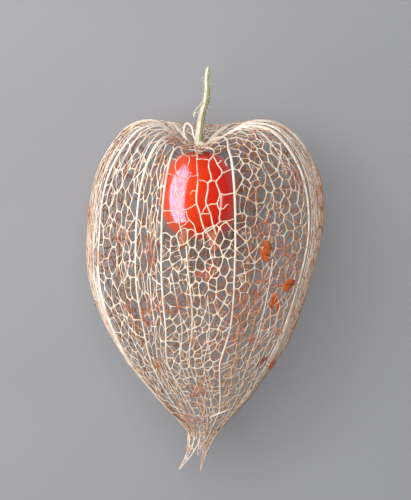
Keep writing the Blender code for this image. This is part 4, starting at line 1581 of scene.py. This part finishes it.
@dataclass
class Stalk:
    """The thin dry stalk: a core, the strands round it, a peeled loop, fuzz and the foot that holds all.

    Attributes:
        route: Sideways, depth, height and radius along it.
        loop: Route of the peeled strand.
        shreds: Ends of the torn shreds of that strand, each with the point of the loop that it leaves.
        foot_profile: Radius and height round the foot.
        foot_x: Sideways place of the foot.
        foot_sides: Steps round it.
        core_share: Radius of the core as a share of the stalk's.
        strands: Number of strands round the core.
        top: Height that no torn fibre passes.
        torn: Number of fibres at the torn end.
        hairs: Number of fuzz hairs.
        seed: Seed of the draws.
    """

    route: Strand = (
        (-0.85, 0.0, 1.4, 0.78), (-0.80, 0.0, 2.7, 0.68), (-0.62, 0.0, 4.4, 0.62),
        (-0.15, -0.1, 7.4, 0.60), (0.50, -0.35, 9.7, 0.54), (0.78, -0.4, 11.9, 0.43),
        (0.68, -0.2, 13.6, 0.38), (1.0, 0.0, 15.9, 0.40),
    )
    loop: Strand = (
        (0.30, -0.45, 9.6, 0.17), (-0.35, -0.8, 9.2, 0.16), (-1.0, -1.0, 8.5, 0.15),
        (-1.5, -1.0, 7.9, 0.14), (-1.6, -0.95, 7.3, 0.12), (-1.8, -0.9, 6.8, 0.07),
    )
    shreds: tuple[tuple[int, Trio], ...] = (
        (22, (-1.05, -1.25, 7.6)),
        (26, (-2.1, -0.8, 7.4)),
        (29, (-1.35, -0.8, 6.9)),
    )
    foot_profile: tuple[Span, ...] = (
        (0.0, 2.4), (0.75, 2.2), (0.95, 1.7), (1.35, 1.4), (1.0, 1.0), (0.6, 0.6), (0.75, 0.15),
        (0.65, -0.08), (0.0, -0.13),
    )
    foot_x: float = -0.65
    foot_sides: int = 24
    core_share: float = 0.74
    strands: int = 9
    top: float = 16.1
    torn: int = 5
    hairs: int = 110
    seed: int = 8

    def __post_init__(self) -> None:
        """Works out points and radius along the stalk, and starts the seeded draws."""
        self.line = smooth_curve(self.route, 8)
        self.rng = np.random.default_rng(self.seed)

    def core(self) -> Piece:
        """Makes the core."""
        data = MeshData()
        data.tube(self.line[:, :3], self.line[:, 3] * self.core_share, sides=10)
        return data.build("stalk_core")

    def foot(self, data: MeshData) -> None:
        """Adds the foot that holds the berry below the husk's ring."""
        angles = ring_angles(self.foot_sides)
        rings = []
        for radius, height in smooth_curve(self.foot_profile, 3):
            size = max(radius, 0.01) * (1 + 0.07 * np.sin(5 * angles + height * 2))
            rings.append(ring_points(self.foot_x, size, height, angles))
        count = len(rings) * self.foot_sides
        end = range(count - 1, count - 1 - self.foot_sides, -1)
        faces = [*bands(len(rings), self.foot_sides), tuple(range(self.foot_sides)), tuple(end)]
        data.add(np.vstack(rings), faces)

    def bundle(self, pale: MeshData, shaded_olive: MeshData) -> None:
        """Adds the strands that wind round the core, paler on the left as painted light and darker on the
        right as painted shade.

        Args:
            pale: The mesh of those that start on the left.
            shaded_olive: The mesh of those that start on the right.
        """
        line, count = self.line, len(self.line)
        for number in range(self.strands):
            turn = 2 * math.pi * number / self.strands + np.linspace(0, self.rng.uniform(-0.8, 0.8), count)
            reach = line[:, 3] * self.rng.uniform(0.72, 0.92)
            path = line[:, :3].copy()
            path[:, 0] += reach * np.sin(turn)
            path[:, 1] -= reach * np.cos(turn)
            first = 0 if number % 2 else int(self.rng.integers(0, count // 4))
            last = count - int(self.rng.integers(0, 6))
            radii = self.rng.uniform(0.10, 0.16) * np.clip(line[:, 3] / 0.45, 0.7, 1.3)
            # Painted light and shade: strands that start on the left go to the pale mesh, those on the right
            # to the darker green-brown one.
            kind = shaded_olive if math.sin(turn[0]) > 0.3 else pale
            kind.tube(path[first:last], radii[first:last], sides=7)

    def peeled(self, data: MeshData) -> None:
        """Adds the peeled strand and its shreds."""
        loop = smooth_curve(self.loop, 6)
        data.tube(loop[:, :3], loop[:, 3])
        for start, tip in self.shreds:
            bend = (loop[start, :3] + tip) / 2 + (0.08, 0.0, 0.06)
            path = smooth_curve([loop[start, :3], bend, tip], 4)
            data.tube(path, np.linspace(0.08, 0.03, len(path)), sides=5)

    def torn_end(self, data: MeshData) -> None:
        """Adds the short fibres that stand out at the torn end."""
        for number in range(self.torn):
            start = self.line[len(self.line) - 2 - number, :3]
            tip = start + [self.rng.uniform(*span) for span in ((-0.6, 0.6), (-0.5, 0.3), (-0.9, 0.25))]
            tip[2] = min(tip[2], self.top)
            path = smooth_curve([start, (start + tip) / 2 + self.rng.normal(0, 0.12, 3), tip], 4)
            path[:, 2] = np.minimum(path[:, 2], self.top)
            data.tube(path, np.linspace(0.1, 0.04, len(path)), sides=5)

    def fuzz(self, pale: MeshData, shaded_olive: MeshData) -> None:
        """Adds the fine hairs, most of those that point right darker as painted shade.

        Args:
            pale: The mesh of the pale ones.
            shaded_olive: The mesh of the olive ones.
        """
        line, count = self.line, len(self.line)
        for _ in range(self.hairs):
            at = line[int(self.rng.integers(count // 5, count - 6))]
            turn = self.rng.uniform(0, 2 * math.pi)
            out = np.array([math.sin(turn), -math.cos(turn), self.rng.uniform(-0.5, 0.5)])
            start = at[:3] + out * at[3] * 0.8
            reach = self.rng.uniform(0.25, 0.95)
            bend = start + out * reach * 0.5 + self.rng.normal(0, 0.08, 3)
            path = smooth_curve([start, bend, start + out * reach + self.rng.normal(0, 0.2, 3)], 3)
            # Painted shade: most hairs that point right go to the darker green-brown mesh.
            kind = shaded_olive if out[0] > 0.3 and self.rng.random() < 0.6 else pale
            kind.tube(path, np.linspace(0.045, 0.02, len(path)), sides=4)

    def fibres(self) -> tuple[Piece, Piece]:
        """Makes the strands, the foot, the peeled loop, the torn end and the fuzz.

        Returns:
            The left ones, pale as painted light, and the right ones, green-brown and darker as painted shade.
        """
        pale, shaded_olive = MeshData(), MeshData()
        self.bundle(pale, shaded_olive)
        self.foot(pale)
        self.peeled(pale)
        self.torn_end(pale)
        self.fuzz(pale, shaded_olive)
        return pale.build("stalk_pale_fibres"), shaded_olive.build("stalk_olive_fibres")


class Field:
    """An output socket in a material, on which arithmetic adds the nodes for it."""

    def __init__(self, tree: "ShaderTree", socket: bpy.types.NodeSocket) -> None:
        """Wraps the socket.

        Args:
            tree: The material that it is in.
            socket: The output socket.
        """
        self.tree = tree
        self.socket = socket

    def math(self, operation: str, first: "Field | float", second: "Field | float") -> "Field":
        """The result of one sum."""
        return self.tree.node("ShaderNodeMath", {"operation": operation}, {0: first, 1: second})

    def __add__(self, other: "Field | float") -> "Field":
        """This plus another."""
        return self.math("ADD", self, other)

    def __radd__(self, other: float) -> "Field":
        """A number plus this."""
        return self.math("ADD", other, self)

    def __sub__(self, other: "Field | float") -> "Field":
        """This less another."""
        return self.math("SUBTRACT", self, other)

    def __rsub__(self, other: float) -> "Field":
        """A number less this."""
        return self.math("SUBTRACT", other, self)

    def __mul__(self, other: "Field | float") -> "Field":
        """This times another."""
        return self.math("MULTIPLY", self, other)

    def __rmul__(self, other: float) -> "Field":
        """A number times this."""
        return self.math("MULTIPLY", other, self)

    def ramp(self, low: float, high: float) -> "Field":
        """Zero below one value, one above another, and smooth between."""
        values = {"Value": self, "From Min": low, "From Max": high}
        return self.tree.node("ShaderNodeMapRange", {"interpolation_type": "SMOOTHSTEP"}, values)

    def blend(self, none: "Field | Colour", full: "Field | Colour") -> "Field":
        """One colour where this is 0 and another where it is 1."""
        settings = {"data_type": "RGBA", "clamp_factor": True}
        return self.tree.node("ShaderNodeMix", settings, {0: self, 6: none, 7: full}, output=2)


class ShaderTree:
    """The node tree of one material."""

    def __init__(self, name: str) -> None:
        """Makes the material with its one surface shader.

        Args:
            name: Name of the material.
        """
        self.material = bpy.data.materials.new(name)
        self.material.use_nodes = True
        self.nodes = self.material.node_tree.nodes
        self.links = self.material.node_tree.links
        self.shader = self.nodes["Principled BSDF"]

    def set(self, node: bpy.types.Node, values: dict[Any, Any]) -> None:
        """Sets or links inputs of a node.

        Args:
            node: The node.
            values: Fields, numbers or colours by input name or number.
        """
        for key, value in values.items():
            if isinstance(value, Field):
                self.links.new(value.socket, node.inputs[key])
            elif isinstance(value, tuple) and len(value) == 3 and node.inputs[key].type == "RGBA":
                node.inputs[key].default_value = (*value, 1.0)
            else:
                node.inputs[key].default_value = value

    def node(
        self, kind: str, settings: dict[str, Any], values: dict[Any, Any], output: int | str = 0
    ) -> Field:
        """Adds a node.

        Args:
            kind: Its type.
            settings: Its properties.
            values: Its inputs.
            output: The output that is used.

        Returns:
            That output.
        """
        made = self.nodes.new(kind)
        for key, value in settings.items():
            setattr(made, key, value)
        self.set(made, values)
        return Field(self, made.outputs[output])

    def place(self) -> Field:
        """The point's place in the part's own frame, in metres."""
        return self.node("ShaderNodeTexCoord", {}, {}, output="Object")

    def axis(self, number: int) -> Field:
        """One coordinate of the place."""
        return self.node("ShaderNodeSeparateXYZ", {}, {0: self.place()}, output=number)

    def turned_to(self, way: Trio) -> Field:
        """How far the surface is turned to a direction of the part's own frame: -1 to 1."""
        normal = self.node("ShaderNodeTexCoord", {}, {}, output="Normal")
        settings = {"operation": "DOT_PRODUCT"}
        return self.node("ShaderNodeVectorMath", settings, {0: normal, 1: way}, output="Value")

    def noise(
        self, scale: float, detail: float = 2.0, stretch: Trio = (1.0, 1.0, 1.0)
    ) -> Field:
        """Cloudy noise.

        Args:
            scale: Bumps in a metre.
            detail: Octaves.
            stretch: Factors on the three axes.

        Returns:
            Values between 0 and 1.
        """
        at = self.node("ShaderNodeMapping", {}, {"Vector": self.place(), "Scale": stretch})
        return self.node("ShaderNodeTexNoise", {}, {"Vector": at, "Scale": scale, "Detail": detail})

    def bump(self, height: Field, strength: float, distance: float) -> Field:
        """A normal that is bent by a height."""
        values = {"Height": height, "Strength": strength, "Distance": distance}
        return self.node("ShaderNodeBump", {}, values)

    def surface(self, values: dict[str, Any]) -> bpy.types.Material:
        """Finishes the material.

        Args:
            values: Inputs of its surface shader.

        Returns:
            The material.
        """
        self.set(self.shader, values)
        return self.material


@dataclass(frozen=True)
class VeinFinish:
    """Dry plant tissue with stains and mottle, and painted light and shade: pale where lit, darker and
    browner in shade.

    Attributes:
        name: Name of the material.
        pale: Colour of full painted light and light mottle.
        dark: Colour of painted shade, facing away from the light or low on the back layer, and of dark
            mottle.
        stain: Colour of the stains.
        stained: How much is stained.
        roughness: Its roughness.
    """

    name: str
    pale: Colour
    dark: Colour
    stain: Colour
    stained: float
    roughness: float

    def material(self) -> bpy.types.Material:
        """Makes the material."""
        tree = ShaderTree(self.name)
        # Painted shade: darker and browner towards the floor, where the back layer lies inside the husk.
        height = tree.axis(2).ramp(0.008, 0.033)
        # Painted light round the stalk's shoulder, where the recess would shade the tissue: less painted
        # shade by height, and a brighter tone below.
        shoulder = tree.axis(1).ramp(0.0205, 0.0245)
        height = shoulder.blend(height, height * 0.4 + 0.6)
        # Painted light and shade: paler where the surface faces the key light on the upper left, darker where
        # it faces away.
        painted_light_facing = tree.turned_to((-0.62, 0.12, 0.77)).ramp(-0.35, 0.75)
        mottle = tree.noise(700.0, 3.0)
        patch = tree.noise(150.0, 3.0)
        fibre = tree.noise(900.0, 3.0, (2.6, 0.22, 2.6))
        right = tree.axis(0).ramp(-0.004, 0.016)
        # Painted light and shade from the ramps above, a little darker towards the right, then mottle and
        # fibre streaks as the tissue's own tone: low values take the dark colour, high the pale one.
        painted_light_and_mottle = (height * 0.9 + 0.1 + shoulder * 0.3 - right * 0.16) * (painted_light_facing * 0.75 + 0.25)
        painted_light_and_mottle = painted_light_and_mottle + (mottle - 0.5) * 0.9 + (fibre - 0.5) * 0.4 + 0.1
        colour = painted_light_and_mottle.blend(self.dark, self.pale)
        spots = patch.ramp(0.5, 0.64) * mottle.ramp(0.36, 0.62) * self.stained
        colour = spots.blend(colour, self.stain)
        return tree.surface(
            {
                "Base Color": colour,
                "Roughness": self.roughness,
                "Specular IOR Level": 0.05,
                "Normal": tree.bump(fibre + 0.4 * mottle, 0.5, 0.00012),
            }
        )


class Dry(Enum):
    """The finishes of the husk's veins and of the stalk."""

    NET = VeinFinish("vein_net", (0.86, 0.73, 0.57), (0.36, 0.135, 0.045), (0.60, 0.15, 0.03), 0.9, 0.42)
    END = VeinFinish("vein_end", (0.74, 0.50, 0.30), (0.32, 0.12, 0.04), (0.55, 0.10, 0.015), 0.95, 0.48)
    RIB = VeinFinish("vein_rib", (0.90, 0.82, 0.70), (0.40, 0.21, 0.10), (0.58, 0.22, 0.07), 0.5, 0.4)
    # Whiter than the ribs: the shoulder strands' own pale colour, brightened further as painted light where
    # the recess round the stalk shades them.
    WHITE = VeinFinish("vein_white", (0.96, 0.92, 0.86), (0.66, 0.50, 0.37), (0.62, 0.36, 0.20), 0.25, 0.4)
    CORE = VeinFinish("stalk_core", (0.58, 0.54, 0.36), (0.30, 0.27, 0.13), (0.26, 0.19, 0.08), 0.6, 0.6)
    # The stalk's strands: the pale finish on its left as painted light, the darker green-brown one on its
    # right as painted shade over the stalk's own green-brown.
    FIBRE = VeinFinish("stalk_fibre", (0.80, 0.77, 0.62), (0.44, 0.40, 0.22), (0.40, 0.32, 0.15), 0.5, 0.5)
    SHADED_OLIVE = VeinFinish("stalk_olive", (0.42, 0.40, 0.20), (0.20, 0.18, 0.07), (0.18, 0.12, 0.04), 0.6, 0.6)


@dataclass(frozen=True)
class FilmFinish:
    """A thin translucent film of old skin.

    Attributes:
        name: Name of the material.
        thin: Colour where it is thin.
        thick: Colour where it is thick.
        opacity: How much light it stops.
    """

    name: str
    thin: Colour
    thick: Colour
    opacity: float

    def material(self) -> bpy.types.Material:
        """Makes the material."""
        tree = ShaderTree(self.name)
        mottle = tree.noise(900.0, 3.0)
        fibre = tree.noise(1200.0, 2.0, (2.0, 0.4, 2.0))
        return tree.surface(
            {
                "Base Color": (mottle * 0.6 + fibre * 0.5).ramp(0.35, 0.75).blend(self.thin, self.thick),
                "Roughness": 0.42,
                "Alpha": self.opacity,
                "Normal": tree.bump(fibre + mottle, 0.6, 0.0001),
            }
        )


@dataclass(frozen=True)
class BerryFinish:
    """Taut glossy fruit skin, orange on one side and deep red on the other.

    Attributes:
        name: Name of the material.
        orange: Colour of its left side.
        red: Colour of its right side.
        deep: Colour of its darkest parts.
    """

    name: str = "berry_skin_gloss"
    orange: Colour = (0.95, 0.085, 0.006)
    red: Colour = (0.84, 0.014, 0.005)
    deep: Colour = (0.50, 0.006, 0.003)

    def material(self) -> bpy.types.Material:
        """Makes the material."""
        tree = ShaderTree(self.name)
        clouds = tree.noise(190.0, 2.0)
        specks = tree.noise(2600.0, 2.0)
        side = (tree.axis(0) * 90.0 + (clouds - 0.5) * 0.5 + 0.62).ramp(0.0, 1.0)
        colour = side.blend(self.orange, self.red)
        under = (0.010 - tree.axis(1)) * 160.0 + (clouds - 0.5) * 0.6
        colour = (under.ramp(0.3, 1.4) * 0.35).blend(colour, self.deep)
        colour = (specks.ramp(0.6, 0.75) * 0.12).blend(colour, (0.95, 0.28, 0.06))
        return tree.surface(
            {
                "Base Color": colour,
                "Roughness": 0.16 + specks * 0.06,
                "Coat Weight": 1.0,
                "Coat IOR": 1.55,
                "Coat Roughness": 0.03,
                "Specular IOR Level": 0.3,
                "Subsurface Weight": 0.25,
                "Subsurface Scale": 0.002,
                "Normal": tree.bump(specks, 0.12, 0.00005),
            }
        )


@dataclass(frozen=True)
class FloorFinish:
    """The plain pale floor.

    Attributes:
        name: Name of the material.
        colour: Its colour.
    """

    name: str = "pale_floor"
    colour: Colour = (0.32, 0.325, 0.335)

    def material(self) -> bpy.types.Material:
        """Makes the material."""
        values = {"Base Color": self.colour, "Roughness": 0.85, "Specular IOR Level": 0.0}
        return ShaderTree(self.name).surface(values)


@dataclass(frozen=True)
class Lamp:
    """One soft light.

    Attributes:
        name: Its name.
        place: Where it stands, in metres.
        size: Width and height, in metres.
        power: Watts.
        colour: Its colour.
        mirrored: Whether glossy surfaces mirror it.
        lights: Whether it lights matt surfaces.
    """

    name: str
    place: Trio
    size: Span
    power: float
    colour: Colour = (1.0, 1.0, 1.0)
    mirrored: bool = True
    lights: bool = True


@dataclass
class Studio:
    """A pale floor, soft lights and the camera at the photograph's angle.

    Attributes:
        scale: Millimetres to a pixel of the picture.
        picture_height: Height of the picture, in pixels.
        film: Height of the camera's film, in millimetres.
        middle: Place of the picture's middle on the hanging lantern, in its middle plane.
        distance: From the camera to the lantern, in metres.
        aim: Where the lights point.
        lamps: The lights.
        room: Colour of the pale room's own light.
        ambient: Its strength.
        floor_half: Half the width of the floor, in metres.
        floor_drop: How far it lies below the lantern, in metres.
    """

    scale: float = 0.185
    picture_height: int = 500
    film: float = 24.0
    middle: Trio = (0.43, 0.0, -18.0)
    distance: float = 0.45
    aim: Trio = (0.0, 0.0, 0.02)
    lamps: tuple[Lamp, ...] = (
        Lamp("window", (-0.185, 0.03, 0.1), (0.46, 0.19), 0.5, (1.0, 0.96, 0.97)),
        Lamp("glint", (-0.185, 0.03, 0.095), (0.50, 0.21), 3.8, (0.85, 0.62, 1.0), lights=False),
        Lamp("overhead", (-0.12, 0.20, 0.55), (0.40, 0.40), 3.3, mirrored=False),
        Lamp("fill", (0.26, -0.02, 0.13), (0.10, 0.04), 0.12),
    )
    room: Colour = (0.9, 0.94, 1.0)
    ambient: float = 0.12
    floor_half: float = 2.0
    floor_drop: float = 0.0001

    def camera(self) -> None:
        """Makes the camera."""
        lens = bpy.data.cameras.new("camera")
        lens.sensor_fit = "VERTICAL"
        lens.sensor_height = self.film
        lens.lens = self.film * self.distance / (self.picture_height * self.scale * MM)
        camera = linked("camera", lens)
        target = Vector(laid(np.array([self.middle]))[0])
        lean = math.radians(CAMERA_LEAN_DEG)
        way = Vector((0.0, math.sin(lean), math.cos(lean)))
        up = Vector((0.0, math.cos(lean), -math.sin(lean)))
        turn = Matrix((up.cross(way), up, way)).transposed()
        camera.matrix_world = Matrix.Translation(target + way * self.distance) @ turn.to_4x4()
        bpy.context.scene.camera = camera

    def light(self, lamp: Lamp) -> None:
        """Adds one light."""
        data = bpy.data.lights.new(lamp.name, "AREA")
        data.shape = "RECTANGLE"
        data.size, data.size_y = lamp.size
        data.energy = lamp.power
        data.color = lamp.colour
        made = linked(lamp.name, data)
        made.visible_glossy = lamp.mirrored
        made.visible_diffuse = lamp.lights
        made.location = lamp.place
        made.rotation_euler = (Vector(self.aim) - Vector(lamp.place)).to_track_quat("-Z", "Y").to_euler()

    def floor(self, finish: FloorFinish) -> None:
        """Makes the floor."""
        mesh = bpy.data.meshes.new("floor")
        half = self.floor_half
        corners = [(x * half, y * half, 0.0) for x, y in ((-1, -1), (1, -1), (1, 1), (-1, 1))]
        mesh.from_pydata(corners, [], [(0, 1, 2, 3)])
        mesh.materials.append(finish.material())
        floor = linked("floor", mesh)
        floor.location.z = -self.floor_drop

    def build(self) -> None:
        """Makes the whole studio."""
        self.camera()
        self.floor(FloorFinish())
        for lamp in self.lamps:
            self.light(lamp)
        world = bpy.data.worlds.new("pale_room")
        world.use_nodes = True
        background = world.node_tree.nodes["Background"].inputs
        background["Color"].default_value = (*self.room, 1.0)
        background["Strength"].default_value = self.ambient
        bpy.context.scene.world = world
        bpy.context.scene.view_settings.view_transform = "Standard"


@dataclass
class Lantern:
    """The whole part: makes every piece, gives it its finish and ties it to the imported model.

    Attributes:
        husk: The surface.
        berry: The berry.
        stalk: The stalk.
    """

    husk: Husk = field(default_factory=Husk)
    berry: Berry = field(default_factory=Berry)
    stalk: Stalk = field(default_factory=Stalk)

    def tie(self, piece: Piece, node: str, finish: bpy.types.Material) -> None:
        """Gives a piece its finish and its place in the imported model.

        Args:
            piece: The piece.
            node: The node that it replaces.
            finish: Its material.
        """
        piece.data.materials.clear()
        piece.data.materials.append(finish)
        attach(piece, "root")
        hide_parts(node)
        triangles = sum(len(face.vertices) - 2 for face in piece.data.polygons)
        log.info("%s: %d triangles", piece.name, triangles)

    def build(self) -> None:
        """Makes all the pieces."""
        net = Net(self.husk)
        plans = net.plan()
        vein = Dry.NET.value.material()
        for piece in net.build(plans):
            self.tie(piece, "calyx_skeleton", vein)
        self.tie(net.vein_ends(plans), "calyx_skeleton", Dry.END.value.material())
        self.tie(OverBerry(self.husk).build(), "calyx_skeleton", vein)
        ribs = Ribs(self.husk)
        self.tie(ribs.build(), "calyx_skeleton", Dry.RIB.value.material())
        self.tie(ribs.shoulder_strands(), "calyx_skeleton", Dry.WHITE.value.material())
        films = {
            "skin_orange_scraps": FilmFinish("skin_orange", (0.80, 0.16, 0.015), (0.55, 0.075, 0.008), 0.97),
            "skin_brown_films": FilmFinish("skin_brown", (0.62, 0.22, 0.11), (0.42, 0.11, 0.045), 0.8),
            "skin_tan_tissue": FilmFinish("skin_tan", (0.74, 0.55, 0.42), (0.56, 0.30, 0.17), 0.9),
        }
        for name, piece in Skin(self.husk).build(plans).items():
            self.tie(piece, "calyx_skeleton", films[name].material())
        self.tie(self.berry.build(), "berry", BerryFinish().material())
        self.tie(self.stalk.core(), "stalk", Dry.CORE.value.material())
        for piece, finish in zip(self.stalk.fibres(), (Dry.FIBRE, Dry.SHADED_OLIVE)):
            self.tie(piece, "stalk", finish.value.material())


def main() -> None:
    """Builds the part and its studio."""
    logging.basicConfig(level=logging.INFO, format="%(message)s")
    Lantern().build()
    Studio().build()


if __name__ == "__main__":
    main()
